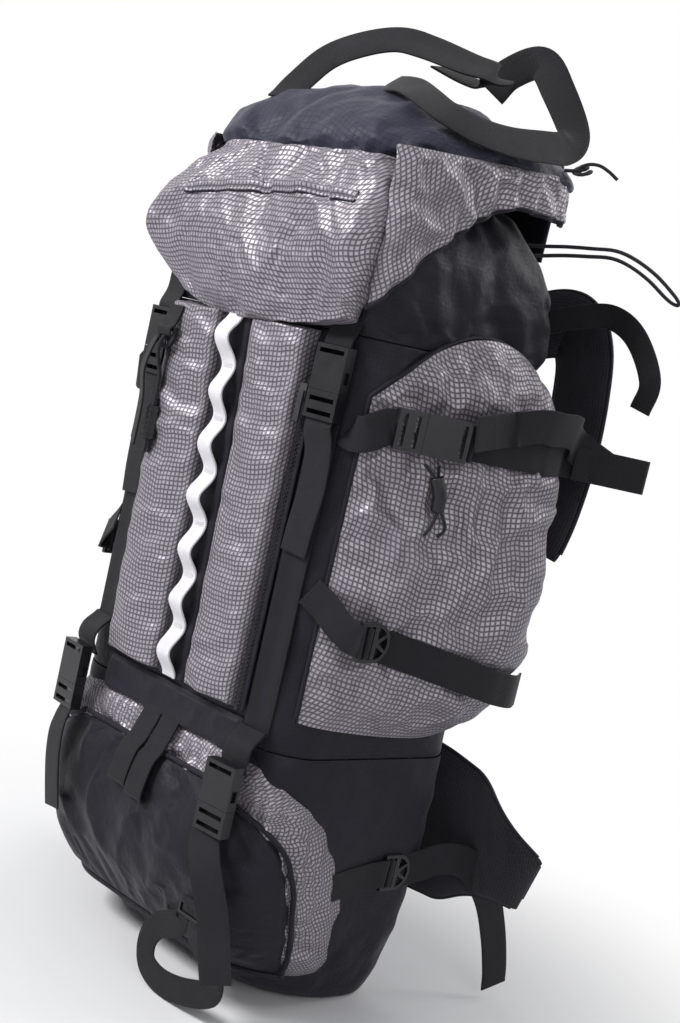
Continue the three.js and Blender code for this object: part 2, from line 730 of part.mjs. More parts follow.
addCloth('lid_top', lidTop(), NAVY);
addCloth('lid_front_pocket', lidFrontPocket(), GREY);
for (const [name, side] of sides) addCloth(`lid_wing_${name}`, lidWing(side), GREY);

// Loose webbing thrown over the lid

function lidRoute(shares) {
  const halfDepth = (LID_FRONT + LID_BACK) / 2;
  return shares.map(([across, along, lift]) => {
    const x = across * LID_HALF_WIDTH;
    const y = along * halfDepth;
    return [x, y, lidCrown(x, y) + lift * ARCH_HEIGHT];
  });
}

function looseStrap(shares, steps, turn) {
  const points = smooth(lidRoute(shares), steps);
  const normals = points.map((_, i) => turn(i / steps));
  return strap(points, normals, STRAP_WIDTH, WEBBING);
}

const archTurn = (share) => new THREE.Vector3(0.3, -1 + share * 0.9, 0.35 + share * 0.3);
const bandTurn = (share) => {
  const column = (index) => between(BAND_TURN_SHARES, share, index);
  return new THREE.Vector3(column(1), column(2), column(3));
};
addCloth('lid_strap_arch', looseStrap(ARCH_SHARES, 24, archTurn), BLACK);
addCloth('lid_strap_band', looseStrap(BAND_SHARES, 26, bandTurn), BLACK);

// Front: two grey panels either side of the strip that carries the daisy chain

function frontPanel(side) {
  const runOf = (u) => STRIP_HALF_WIDTH + GAP + u * (PANEL_OUTER_RUN - STRIP_HALF_WIDTH - GAP);
  const heightOf = (v) => PANEL_BOTTOM + v * (PANEL_TOP - PANEL_BOTTOM);
  const outer = (u, v) => {
    const crown = PANEL_CROWN * Math.sin(Math.PI * u) + PANEL_TOP_SWELL * v ** 2 * (1 - u / 2);
    return hug(side * runOf(u), PANEL_DEPTH + crown, heightOf(v));
  };
  return slab(6, 8, outer, (u, v) => hug(side * runOf(u), GAP, heightOf(v)));
}

const stripFace = (v) => STRIP_DEPTH + PANEL_TOP_SWELL * v ** 2;

function frontStrip() {
  const heightOf = (v) => PANEL_BOTTOM + v * (PANEL_TOP - PANEL_BOTTOM);
  const runOf = (u) => (2 * u - 1) * STRIP_HALF_WIDTH;
  const face = (u, v) => hug(runOf(u), stripFace(v), heightOf(v));
  return slab(2, 8, face, (u, v) => hug(runOf(u), GAP, heightOf(v)));
}

function daisyChain() {
  const steps = CHAIN_LOOPS * CHAIN_STEPS;
  const points = [];
  for (let i = 0; i <= steps; i++) {
    const v = i / steps;
    const wave = Math.sin(Math.PI * CHAIN_LOOPS * v) ** 2;
    const grow = stripFace(v) + GAP + CHAIN_THICKNESS / 2 + CHAIN_LOOP_DEPTH * wave;
    points.push(hug(0, grow, PANEL_BOTTOM + v * (PANEL_TOP - PANEL_BOTTOM)));
  }
  return strap(points, outward(0), CHAIN_WIDTH, CHAIN_THICKNESS);
}

const zipRun = PANEL_OUTER_RUN + GAP + ZIP_WIDTH / 2;

function frontZip(side) {
  const runOf = (u) => side * (zipRun + (u - 0.5) * ZIP_WIDTH);
  const heightOf = (v) => PANEL_BOTTOM + v * (ZIP_TOP - PANEL_BOTTOM);
  const face = (u, v) => hug(runOf(u), u > 0 && u < 1 ? ZIP_DEPTH : ZIP_DEPTH / 2, heightOf(v));
  return slab(4, 1, face, (u, v) => hug(runOf(u), GAP, heightOf(v)));
}

function slider() {
  const half = SLIDER_WIDTH / 2;
  const body = block([-half, -SLIDER_DEPTH, -SLIDER_LENGTH], [half, 0, 0]);
  const front = -SLIDER_DEPTH - PULL_THICKNESS;
  const middle = -SLIDER_LENGTH / 2;
  const pull = block(
    [-PULL_WIDTH / 2, front, middle - PULL_LENGTH],
    [PULL_WIDTH / 2, -SLIDER_DEPTH / 2, middle],
  );
  const room = block([-half, -SLIDER_DEPTH, -SLIDER_LENGTH - PULL_LENGTH], [half, 0, -SLIDER_LENGTH]);
  return toGeometry(body.add(pull.subtract(room)));
}

for (const [name, side] of sides) {
  addCloth(`front_panel_${name}`, frontPanel(side), GREY);
  addCloth(`front_zip_${name}`, frontZip(side), BLACK);
  const seat = hug(side * zipRun, ZIP_DEPTH + GAP, ZIP_TOP - SLIDER_START);
  add(`front_zip_slider_${name}`, place(slider(), seat, outward(side * zipRun), UP), ALLOY, 0.35, 0.8);
}
addCloth('front_strip', frontStrip(), BLACK);
addCloth('daisy_chain', daisyChain(), WHITE);

// Side pockets

const pocketRun = (u) => POCKET_START_RUN + u * (POCKET_END_RUN - POCKET_START_RUN);
const pocketShare = (run) => (run - POCKET_START_RUN) / (POCKET_END_RUN - POCKET_START_RUN);

function pocketEdge(u, front, back) {
  return u < POCKET_PEAK_SHARE
    ? front * ((POCKET_PEAK_SHARE - u) / POCKET_PEAK_SHARE) ** 2
    : back * ((u - POCKET_PEAK_SHARE) / (1 - POCKET_PEAK_SHARE)) ** 2;
}

const pocketTop = (u) => POCKET_PEAK - pocketEdge(u, POCKET_FRONT_DROP, POCKET_BACK_DROP);
const pocketFoot = (u) => POCKET_BOTTOM + pocketEdge(u, POCKET_FRONT_LIFT, POCKET_BACK_LIFT);

// How far the pocket's face stands off the bag, by shares round and up.
function pocketSwell(u, v) {
  const depth = POCKET_DEPTH * between(POCKET_ROUND_SHARES, u) * between(POCKET_RISE_SHARES, v);
  return GAP + POCKET_EDGE + depth;
}

function sidePocket(side) {
  const height = (u, v) => pocketFoot(u) + v * (pocketTop(u) - pocketFoot(u));
  const outer = (u, v) => hug(side * pocketRun(u), pocketSwell(u, v), height(u, v));
  return onBag(slab(12, 10, outer, (u, v) => hug(side * pocketRun(u), -OVERRUN, height(u, v))));
}

// The standoff that clears the pocket over the width of a strap at a height.
function clearOfPocket(run, height, width) {
  const u = pocketShare(run);
  const foot = pocketFoot(u);
  const span = pocketTop(u) - foot;
  const widthShares = [-0.5, -0.25, 0, 0.25, 0.5];
  const marks = widthShares.map((share) => pocketSwell(u, (height + share * width - foot) / span));
  return Math.max(...marks) + STRAP_OVER_POCKET + WEBBING / 2;
}

function pocketStrapPoints(side, start, end, heightOf) {
  const points = [];
  for (let i = 0; i <= STRAP_STEPS; i++) {
    const run = start + (end - start) * i / STRAP_STEPS;
    const height = heightOf(i / STRAP_STEPS);
    points.push(hug(side * run, clearOfPocket(run, height, STRAP_WIDTH), height));
  }
  return points;
}

function sideNormals(points) {
  return points.map((point, i) => {
    const before = points[Math.max(0, i - 1)];
    const after = points[Math.min(points.length - 1, i + 1)];
    const along = new THREE.Vector3(after[0] - before[0], after[1] - before[1], 0).normalize();
    const out = along.cross(UP);
    return out;
  });
}

// The side buckle lies slanting across the pocket's front shoulder, ahead of the upper strap.
function sideBuckleSeat(side) {
  const along = new THREE.Vector3(side * Math.cos(SIDE_BUCKLE_TURN), Math.sin(SIDE_BUCKLE_TURN), 0);
  const out = new THREE.Vector3(side * Math.sin(SIDE_BUCKLE_TURN), -Math.cos(SIDE_BUCKLE_TURN), 0);
  return { seat: hug(side * SIDE_BUCKLE_RUN, SIDE_BUCKLE_GROW, UPPER_STRAP_HEIGHT), out, along };
}

function upperStrap(side) {
  const { seat, along } = sideBuckleSeat(side);
  const start = new THREE.Vector3(...seat).addScaledVector(along, SOCKET_LENGTH + STRAP_STANDOFF);
  const points = [start.toArray(), start.addScaledVector(along, SLOT_HEIGHT).toArray()];
  const level = () => UPPER_STRAP_HEIGHT;
  points.push(...pocketStrapPoints(side, UPPER_STRAP_START_RUN, UPPER_STRAP_END_RUN, level));
  const [x, y, z] = points.at(-1);
  for (const [out, back] of UPPER_LOOP_SHARES) {
    points.push([x + side * out * UPPER_LOOP_OUT, y + back * UPPER_LOOP_REACH, z]);
  }
  return strap(points, sideNormals(points), STRAP_WIDTH, WEBBING);
}

function lowerStrap(side) {
  const heightOf = (v) => LOWER_STRAP_FRONT_HEIGHT + (LOWER_STRAP_BACK_HEIGHT - LOWER_STRAP_FRONT_HEIGHT) * v;
  const points = pocketStrapPoints(side, LOWER_STRAP_START_RUN, LOWER_STRAP_END_RUN, heightOf);
  return strap(points, sideNormals(points), STRAP_WIDTH, WEBBING);
}

for (const [name, side] of sides) {
  addCloth(`side_pocket_${name}`, sidePocket(side), GREY);
  addCloth(`side_upper_strap_${name}`, upperStrap(side), BLACK);
  addCloth(`side_lower_strap_${name}`, lowerStrap(side), BLACK);
}

// Buckles: length on Z with the mouth of the socket at 0, face on -Y

function webbingSlot(top) {
  const reach = BUCKLE_THICKNESS / 2 + OVERRUN;
  return block([-SLOT_WIDTH / 2, -reach, top - SLOT_HEIGHT], [SLOT_WIDTH / 2, reach, top]);
}

function socket() {
  const half = BUCKLE_WIDTH / 2;
  const thick = BUCKLE_THICKNESS / 2;
  const room = half - BUCKLE_WALL;
  const inside = thick - BUCKLE_WALL;
  const slotTop = SOCKET_LENGTH - SLOT_MARGIN;
  const windowTop = WINDOW_START + WINDOW_LENGTH;
  return toGeometry(block([-half, -thick, 0], [half, thick, SOCKET_LENGTH])
    .subtract(block([-room, -inside, -OVERRUN], [room, inside, SOCKET_DEPTH]))
    .subtract(block([-half - OVERRUN, -inside, WINDOW_START], [half + OVERRUN, inside, windowTop]))
    .subtract(webbingSlot(slotTop)));
}

function plug() {
  const half = BUCKLE_WIDTH / 2;
  const thick = BUCKLE_THICKNESS / 2;
  const reach = half - BUCKLE_WALL - GAP;
  const blade = thick - BUCKLE_WALL - GAP;
  const prong = (from) => block([from, -blade, -GAP - OVERRUN], [from + PRONG_WIDTH, blade, PRONG_LENGTH]);
  const firstSlot = -GAP - SLOT_MARGIN - SLOT_HEIGHT / 2;
  const guide = block([-GUIDE_WIDTH / 2, -blade, -GAP - OVERRUN], [GUIDE_WIDTH / 2, blade, PRONG_LENGTH]);
  return toGeometry(block([-half, -thick, -PLUG_LENGTH], [half, thick, -GAP])
    .subtract(webbingSlot(firstSlot))
    .subtract(webbingSlot(-PLUG_LENGTH + SLOT_MARGIN + SLOT_HEIGHT))
    .add(guide.subtract(webbingSlot(firstSlot)))
    .add(prong(-reach))
    .add(prong(reach - PRONG_WIDTH)));
}

function addBuckle(name, seat, out, along) {
  addPlastic(`${name.replace('PIECE', 'socket')}`, place(socket(), seat, out, along));
  addPlastic(`${name.replace('PIECE', 'plug')}`, place(plug(), seat, out, along));
}

const dome = (u, v) => Math.sqrt(Math.max(0, Math.sin(Math.PI * u) * Math.sin(Math.PI * v)));
const faceSwell = (u, v) => BELLOWS_DEPTH + GAP + FACE_EDGE + (FACE_DEPTH - FACE_EDGE) * dome(u, v);

// How far the lower pocket's face stands off the bag at a place, or its gusset above the face.
function lowerPocketGrow(run, height) {
  if (height > FACE_TOP) return BELLOWS_DEPTH;
  const v = (height - FACE_BOTTOM) / (FACE_TOP - FACE_BOTTOM);
  const share = run / (FACE_WIDEST_RUN * between(FACE_SHARES, v));
  return faceSwell((share + 1) / 2, v);
}

const overWebbing = (grow) => grow + WEBBING + GAP + BUCKLE_THICKNESS / 2;

// The height of a lower buckle and the standoff that lets its plug slide out over the pocket's face.
// The left buckle is drawn up.
function lowerBuckle(side) {
  const height = LOWER_BUCKLE_HEIGHT + (side < 0 ? LEFT_BUCKLE_LIFT : 0);
  const reach = height - PLUG_LENGTH - PRONG_LENGTH;
  const under = lowerPocketGrow(FRONT_STRAP_RUN - BUCKLE_WIDTH / 2, reach);
  return { height, grow: under + GAP + STRAP_STANDOFF };
}

for (const [name, side] of sides) {
  const run = side * FRONT_STRAP_RUN;
  const out = outward(run);
  addBuckle(`lid_PIECE_${name}`, hug(run, overWebbing(GAP), LID_BUCKLE_HEIGHT), out, UP);
  const lower = lowerBuckle(side);
  addBuckle(`lower_PIECE_${name}`, hug(run, overWebbing(lower.grow), lower.height), out, UP);
  const { seat, out: face, along } = sideBuckleSeat(side);
  addBuckle(`side_PIECE_${name}`, seat, face, along);
}

// Webbing down the front, over the lower pocket to the lower buckle

function frontWebbing(side) {
  const run = side * FRONT_STRAP_RUN;
  const flat = GAP + WEBBING / 2;
  const { height, grow } = lowerBuckle(side);
  const raised = grow + WEBBING / 2;
  const end = height + FRONT_STRAP_HOLD;
  const rise = end + FRONT_STRAP_TUCK;
  const rows = [
    [FRONT_STRAP_TOP, flat], [rise + STRAP_WIDTH, flat],
    [rise + STRAP_WIDTH / 2, (flat + raised) / 2 + STRAP_STANDOFF],
    [rise, raised], [end, raised],
  ];
  return strap(rows.map(([height, grow]) => hug(run, grow, height)), outward(run), STRAP_WIDTH, WEBBING);
}

// The slack stretch of webbing from the bag's front corner to the side buckle's plug.
function frontSlack(side) {
  const { seat, out, along } = sideBuckleSeat(side);
  const start = new THREE.Vector3(...seat).addScaledVector(along, -PLUG_LENGTH - STRAP_STANDOFF);
  const end = new THREE.Vector3(...hug(side * FRONT_SLACK_RUN, STRAP_STANDOFF, UPPER_STRAP_HEIGHT));
  const away = out.clone().add(outward(side * FRONT_SLACK_RUN)).normalize();
  const route = FRONT_SLACK_SHARES.map(([way, bulge, sag]) => start.clone().lerp(end, way)
    .addScaledVector(away, bulge * FRONT_SLACK_BULGE)
    .addScaledVector(UP, -sag * FRONT_SLACK_SAG)
    .toArray());
  return strap(smooth(route, 14), away, STRAP_WIDTH, WEBBING);
}

for (const [name, side] of sides) {
  addCloth(`front_webbing_${name}`, frontWebbing(side), BLACK);
  addCloth(`side_front_strap_${name}`, frontSlack(side), BLACK);
}

// Ladder locks: a flat plate with two webbing slots and a round spoked end, standing on Z

const LOCK_STRAIGHT = 3 * LOCK_BAR + 2 * LOCK_SLOT;

function ladderLock() {
  const half = LOCK_WIDTH / 2;
  const plate = new THREE.Shape();
  plate.moveTo(-half, 0);
  plate.lineTo(half, 0);
  plate.lineTo(half, LOCK_STRAIGHT);
  plate.absarc(0, LOCK_STRAIGHT, half, 0, Math.PI, false);
  plate.closePath();
  for (const low of [LOCK_BAR, 2 * LOCK_BAR + LOCK_SLOT]) {
    const slot = new THREE.Path();
    const edge = half - LOCK_RIM;
    slot.setFromPoints([[-edge, low], [-edge, low + LOCK_SLOT], [edge, low + LOCK_SLOT], [edge, low]]
      .map(([x, y]) => new THREE.Vector2(x, y)));
    slot.closePath();
    plate.holes.push(slot);
  }
  const outer = half - LOCK_RIM;
  const inner = outer * HUB_SHARE;
  for (let i = 0; i < LOCK_HOLES; i++) {
    const from = (i + SPOKE_SHARE) / LOCK_HOLES * Math.PI;
    const to = (i + 1 - SPOKE_SHARE) / LOCK_HOLES * Math.PI;
    const marks = [[inner, (from + to) / 2], [outer, from], [outer, (from + to) / 2], [outer, to]];
    const hole = new THREE.Path();
    const corner = ([r, a]) => new THREE.Vector2(r * Math.cos(a), LOCK_STRAIGHT + r * Math.sin(a));
    hole.setFromPoints(marks.map(corner));
    hole.closePath();
    plate.holes.push(hole);
  }
  const settings = { depth: LOCK_THICKNESS, bevelEnabled: false, curveSegments: 10 };
  return new THREE.ExtrudeGeometry(plate, settings).rotateX(Math.PI / 2);
}

for (const [name, side] of sides) {
  const back = outward(side * LOCK_RUN).cross(UP).multiplyScalar(-side);
  const lockGrow = clearOfPocket(LOCK_RUN + LOCK_WIDTH / 2, LOCK_HEIGHT, LOCK_WIDTH) + GAP + WEBBING / 2;
  const roundEnd = new THREE.Vector3(...hug(side * (LOCK_RUN + LOCK_WIDTH / 2), lockGrow, LOCK_HEIGHT));
  const seat = roundEnd.addScaledVector(back, -LOCK_STRAIGHT - LOCK_WIDTH / 2).toArray();
  addPlastic(`ladder_lock_${name}`, place(ladderLock(), seat, outward(side * LOCK_RUN), back));
  const hipSeat = hug(side * HIP_LOCK_RUN, 2 * GAP, HIP_LOCK_HEIGHT);
  addPlastic(`hip_ladder_lock_${name}`, place(ladderLock(), hipSeat, outward(side * HIP_LOCK_RUN), back));
}

// Lower front pocket: a grey gathered gusset with the black pocket face on it

function wrapSlab(low, high, runOf, innerGrow, growOf, columns, rows) {
  const height = (v) => low + v * (high - low);
  const run = (u, v) => (2 * u - 1) * runOf(v);
  return slab(
    columns, rows,
    (u, v) => hug(run(u, v), growOf(u, v), height(v)),
    (u, v) => hug(run(u, v), innerGrow, height(v)),
  );
}

const swell = (u, v) => Math.min(1, 6 * u, 6 * (1 - u), 6 * v, 6 * (1 - v));

function gusset(extra) {
  return wrapSlab(
    LOWER_BOTTOM, LOWER_TOP, (v) => BELLOWS_WIDEST_RUN * between(BELLOWS_SHARES, v), -OVERRUN,
    (u, v) => BELLOWS_EDGE + extra + (BELLOWS_DEPTH - BELLOWS_EDGE) * swell(u, v), 26, 8,
  );
}

function pocketFace() {
  const face = wrapSlab(
    FACE_BOTTOM, FACE_TOP, (v) => FACE_WIDEST_RUN * between(FACE_SHARES, v), BELLOWS_EDGE,
    faceSwell, 20, 7,
  );
  return toGeometry(toSolid(face).subtract(toSolid(gusset(GAP))).subtract(envelope));
}

addCloth('lower_pocket_gusset', onBag(gusset(0)), GREY);
addCloth('lower_pocket_face', pocketFace(), BLACK);

// The tool loop hangs from the bag over the gusset's top and lies on the pocket's face.
function toolLoopPoint([off, down]) {
  const height = TOOL_LOOP_TOP - down * (TOOL_LOOP_TOP - TOOL_LOOP_BOTTOM);
  const drop = (TOOL_LOOP_TOP - height) / (TOOL_LOOP_TOP - FACE_TOP);
  const under = height > FACE_TOP ? drop * lowerPocketGrow(0, FACE_TOP) : lowerPocketGrow(0, height);
  return [0, -BAG_FRONT - under - GAP - WEBBING / 2 - off * TOOL_LOOP_DEPTH, height];
}

function toolLoop() {
  const points = TOOL_LOOP_SHARES.map(toolLoopPoint);
  const normals = points.map((p, i) => {
    const before = points[Math.max(0, i - 1)];
    const after = points[Math.min(points.length - 1, i + 1)];
    return new THREE.Vector3(0, after[2] - before[2], before[1] - after[1]).normalize();
  });
  return strap(points, normals, TOOL_LOOP_WIDTH, WEBBING);
}

addCloth('tool_loop', toolLoop(), BLACK);

// Ring low on the pocket's right, with the webbing loop that hangs from it

function rectangleRing(width, length, bar) {
  const outline = new THREE.Shape();
  const half = width / 2;
  const trim = bar / 2;
  outline.setFromPoints([
    [-half, trim], [-half + trim, 0], [half - trim, 0], [half, trim],
    [half, length - trim], [half - trim, length], [-half + trim, length], [-half, length - trim],
  ].map(([x, y]) => new THREE.Vector2(x, y)));
  const hole = new THREE.Path();
  hole.setFromPoints([
    [bar - half, bar], [bar - half, length - bar], [half - bar, length - bar], [half - bar, bar],
  ].map(([x, y]) => new THREE.Vector2(x, y)));
  outline.holes.push(hole);
  return new THREE.ExtrudeGeometry(outline, { depth: bar, bevelEnabled: false }).rotateX(Math.PI / 2);
}

const ringTop = RING_HEIGHT + RING_LENGTH;
const ringBack = hug(RING_RUN, lowerPocketGrow(RING_RUN, ringTop) + GAP, ringTop)[1];
const ringSeat = [RING_RUN, ringBack, RING_HEIGHT];
const loopRing = rectangleRing(RING_WIDTH, RING_LENGTH, RING_BAR);
addPlastic('loop_ring', place(loopRing, ringSeat, outward(RING_RUN), UP));

function ringLoop() {
  const route = RING_LOOP_SHARES.map(([across, down]) => [
    RING_RUN + across * RING_LOOP_SPREAD,
    ringSeat[1] - RING_BAR / 2,
    RING_HEIGHT - STRAP_STANDOFF - down * RING_LOOP_DROP,
  ]);
  const width = (share) => RING_LOOP_WEBBING * between(RING_LOOP_WIDTH_SHARES, share);
  return strap(smooth(route, 22), BACKWARD, width, WEBBING);
}

addCloth('ring_loop', ringLoop(), BLACK);

// Left front: D-ring, elastic cord and ribbed barrel

function dRing() {
  const half = D_RING_WIDTH / 2;
  const outline = new THREE.Shape();
  outline.moveTo(-half, 0);
  outline.absarc(0, -half / 2, half, Math.PI, 2 * Math.PI, false);
  outline.lineTo(half, 0);
  outline.closePath();
  const inner = half - D_RING_BAR;
  const hole = new THREE.Path();
  hole.moveTo(-inner, -D_RING_BAR);
  hole.absarc(0, -half / 2, inner, Math.PI, 2 * Math.PI, false);
  hole.lineTo(inner, -D_RING_BAR);
  hole.closePath();
  outline.holes.push(hole);
  const settings = { depth: D_RING_BAR, bevelEnabled: false, curveSegments: 10 };
  return new THREE.ExtrudeGeometry(outline, settings).rotateX(Math.PI / 2);
}

function ribbedBarrel() {
  const profile = [new THREE.Vector2(0, 0)];
  const pitch = BARREL_LENGTH / (2 * BARREL_RIBS);
  for (let i = 0; i < 2 * BARREL_RIBS; i++) {
    const radius = BARREL_RADIUS - (i % 2 ? BARREL_RIB : 0);
    profile.push(new THREE.Vector2(radius, i * pitch), new THREE.Vector2(radius, (i + 1) * pitch));
  }
  profile.push(new THREE.Vector2(0, BARREL_LENGTH));
  const bore = block(
    [-BARREL_BORE_WIDTH / 2, -BARREL_BORE_DEPTH / 2, -OVERRUN],
    [BARREL_BORE_WIDTH / 2, BARREL_BORE_DEPTH / 2, BARREL_LENGTH + OVERRUN],
  );
  return toGeometry(toSolid(new THREE.LatheGeometry(profile, 14).rotateX(Math.PI / 2)).subtract(bore));
}

const panelFace = PANEL_DEPTH + PANEL_CROWN + PANEL_TOP_SWELL;
const dSeat = hug(-D_RING_RUN, panelFace + GAP, D_RING_HEIGHT);
add('d_ring', place(dRing(), dSeat, outward(-D_RING_RUN), UP), PLASTIC, 0.4);
const cordMiddle = (BUNGEE_ROUTE[0][1] + BUNGEE_ROUTE.at(-1)[1]) / 2;
const barrelSeat = [-D_RING_RUN, cordMiddle, D_RING_HEIGHT - BARREL_DROP];
addPlastic('cord_barrel', ribbedBarrel().translate(...barrelSeat));
addCloth('bungee_cord', cord(BUNGEE_ROUTE, BUNGEE_DIAMETER, 24), BLACK);
addCloth('drawcord', cord(DRAWCORD_ROUTE, DRAWCORD_DIAMETER, 60), BLACK);

// Back system: frame sheet, foam back pad, shoulder straps, hip belt and load lifters

function plate(halfWidth, bottom, top, corner, thickness) {
  const outline = new THREE.Shape();
  outline.moveTo(corner - halfWidth, bottom);
  outline.absarc(halfWidth - corner, bottom + corner, corner, -Math.PI / 2, 0, false);
  outline.absarc(halfWidth - corner, top - corner, corner, 0, Math.PI / 2, false);
  outline.absarc(corner - halfWidth, top - corner, corner, Math.PI / 2, Math.PI, false);
  outline.absarc(corner - halfWidth, bottom + corner, corner, Math.PI, 1.5 * Math.PI, false);
  const settings = { depth: thickness, bevelEnabled: false, curveSegments: 5 };
  return new THREE.ExtrudeGeometry(outline, settings).rotateX(Math.PI / 2).translate(0, thickness, 0);
}

const sheetFace = BAG_BACK + GAP;
const padFace = sheetFace + SHEET_THICKNESS + GAP;
const padBack = padFace + BACK_PAD_THICKNESS;
add('frame_sheet', plate(SHEET_HALF_WIDTH, SHEET_BOTTOM, SHEET_TOP, SHEET_CORNER, SHEET_THICKNESS)
  .translate(0, sheetFace, 0), WHITE, 0.5);

function backPad() {
  const outline = plate(
    BACK_PAD_HALF_WIDTH, BACK_PAD_BOTTOM, BACK_PAD_TOP, BACK_PAD_CORNER, BACK_PAD_THICKNESS,
  ).translate(0, padFace, 0);
  const channel = block(
    [-BACK_PAD_CHANNEL, padBack - BACK_PAD_CHANNEL, BACK_PAD_BOTTOM - OVERRUN],
    [BACK_PAD_CHANNEL, padBack + OVERRUN, BACK_PAD_TOP + OVERRUN],
  );
  return toGeometry(toSolid(outline).subtract(channel));
}

addCloth('back_pad', backPad(), BLACK);

function shoulderStrap(side) {
  const start = padBack + GAP + SHOULDER_THICKNESS / 2;
  const route = SHOULDER_SHARES.map(([reach, off, rise]) => [
    side * (SHOULDER_ROOT_X + reach * SHOULDER_REACH),
    start + off * SHOULDER_STANDOFF,
    SHOULDER_ROOT_HEIGHT + (rise > 0 ? rise * SHOULDER_RISE : rise * SHOULDER_FALL),
  ]);
  return strap(smooth(route, 18), BACKWARD, SHOULDER_WIDTH, SHOULDER_THICKNESS, true);
}

function hipWing(side) {
  const start = padBack + GAP + HIP_THICKNESS / 2;
  const points = [];
  for (let i = 0; i <= 8; i++) {
    const share = i / 8;
    points.push([
      side * (HIP_ROOT_X + share * HIP_REACH),
      start + HIP_CURVE * share ** 2,
      HIP_HEIGHT - HIP_DROP * share ** 2,
    ]);
  }
  const width = (share) => HIP_ROOT_WIDTH * between(HIP_WIDTH_SHARES, share);
  return strap(points, BACKWARD, width, HIP_THICKNESS, true);
}

function loadLifter(side) {
  const start = BAG_BACK + SHEET_THICKNESS + 2 * GAP + WEBBING;
  const route = LIFTER_SHARES.map(([reach, off, rise]) => [
    side * (LIFTER_X + reach * LIFTER_REACH),
    start + off * LIFTER_STANDOFF,
    LIFTER_HEIGHT + rise * LIFTER_RISE,
  ]);
  return strap(smooth(route, 14), BACKWARD, LIFTER_WIDTH, WEBBING);
}

for (const [name, side] of sides) {
  addCloth(`shoulder_strap_${name}`, shoulderStrap(side), BLACK);
  addCloth(`hip_belt_${name}`, hipWing(side), BLACK);
  addCloth(`load_lifter_${name}`, loadLifter(side), BLACK);
}

export default pack;
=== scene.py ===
import math

import bmesh
import bpy
from mathutils import Matrix, Vector, noise


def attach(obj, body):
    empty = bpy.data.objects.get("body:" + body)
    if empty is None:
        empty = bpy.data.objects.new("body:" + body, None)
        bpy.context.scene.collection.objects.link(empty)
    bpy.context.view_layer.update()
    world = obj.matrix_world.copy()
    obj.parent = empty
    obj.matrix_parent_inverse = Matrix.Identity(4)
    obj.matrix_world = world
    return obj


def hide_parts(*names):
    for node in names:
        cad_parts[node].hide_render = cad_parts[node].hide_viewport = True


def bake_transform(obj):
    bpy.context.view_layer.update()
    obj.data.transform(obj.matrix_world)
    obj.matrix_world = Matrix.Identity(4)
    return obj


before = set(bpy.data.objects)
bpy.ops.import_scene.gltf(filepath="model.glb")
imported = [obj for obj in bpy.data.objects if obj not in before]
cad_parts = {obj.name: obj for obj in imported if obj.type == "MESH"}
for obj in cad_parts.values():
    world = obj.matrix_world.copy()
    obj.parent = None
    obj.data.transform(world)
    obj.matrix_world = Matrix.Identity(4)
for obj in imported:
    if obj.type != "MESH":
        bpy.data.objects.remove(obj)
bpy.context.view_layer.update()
scene = bpy.context.scene

# The camera stands ahead of the bag and to its right, a little above its middle. It is rolled, because
# the bag stands slanting in the picture.
view_turn, view_rise, view_roll = math.radians(46.5), math.radians(7.2), math.radians(12.8)
view_middle, view_distance = Vector((0, 0, 0.4)), 1.5
level_right = Vector((math.cos(view_turn), math.sin(view_turn), 0))
level_ahead = Vector((math.sin(view_turn), -math.cos(view_turn), 0))
back_dir = math.cos(view_rise) * level_ahead + Vector((0, 0, math.sin(view_rise)))
level_up = back_dir.cross(level_right)
camera_right = math.cos(view_roll) * level_right + math.sin(view_roll) * level_up
camera_up = -math.sin(view_roll) * level_right + math.cos(view_roll) * level_up
camera = bpy.data.objects.new("camera", bpy.data.cameras.new("camera"))
camera.matrix_world = Matrix.Translation(view_middle + back_dir * view_distance) @ Matrix(
    (camera_right, camera_up, back_dir)).transposed().to_4x4()
camera.data.lens = 55.95
camera.data.sensor_width = 36
camera.data.shift_x = 0.03128
camera.data.shift_y = 0.03275
scene.collection.objects.link(camera)
scene.camera = camera


# Two limp cords come first: the collar's drawcord, which leaves the back right corner as a doubled
# 3.5 mm braid, and the doubled elastic cord that holds a ribbed barrel under the left D-ring.
MM = 0.001


def feed(tree, node, inputs):
    """Gives a node's inputs plain values, colours or other nodes' outputs."""
    for name, value in inputs.items():
        socket = node.inputs[name]
        if isinstance(value, bpy.types.NodeSocket):
            tree.links.new(value, socket)
        elif socket.type == "RGBA":
            socket.default_value = (*value, 1)
        else:
            socket.default_value = value
    return node


def add_node(tree, kind, inputs):
    return feed(tree, tree.nodes.new("ShaderNode" + kind), inputs)


def node_tree(name):
    """A new material with one shader in it."""
    material = bpy.data.materials.new(name)
    material.use_nodes = True
    nodes = material.node_tree.nodes
    nodes.clear()
    shader = nodes.new("ShaderNodeBsdfPrincipled")
    surface = nodes.new("ShaderNodeOutputMaterial")
    material.node_tree.links.new(shader.outputs["BSDF"], surface.inputs["Surface"])
    return material, material.node_tree, shader


def math_node(tree, operation, first, second=None):
    node = tree.nodes.new("ShaderNodeMath")
    node.operation = operation
    feed(tree, node, {0: first} if second is None else {0: first, 1: second})
    return node.outputs[0]


def plus(tree, first, second):
    return math_node(tree, "ADD", first, second)


def times(tree, first, second):
    return math_node(tree, "MULTIPLY", first, second)


def mix_colour(tree, share, low, high):
    node = tree.nodes.new("ShaderNodeMix")
    node.data_type = "RGBA"
    return feed(tree, node, {"Factor": share, "A": low, "B": high}).outputs["Result"]


def noise_node(tree, vector, scale, detail=3.0, rough=0.5):
    inputs = {"Vector": vector, "Scale": scale, "Detail": detail, "Roughness": rough}
    return add_node(tree, "TexNoise", inputs).outputs["Fac"]


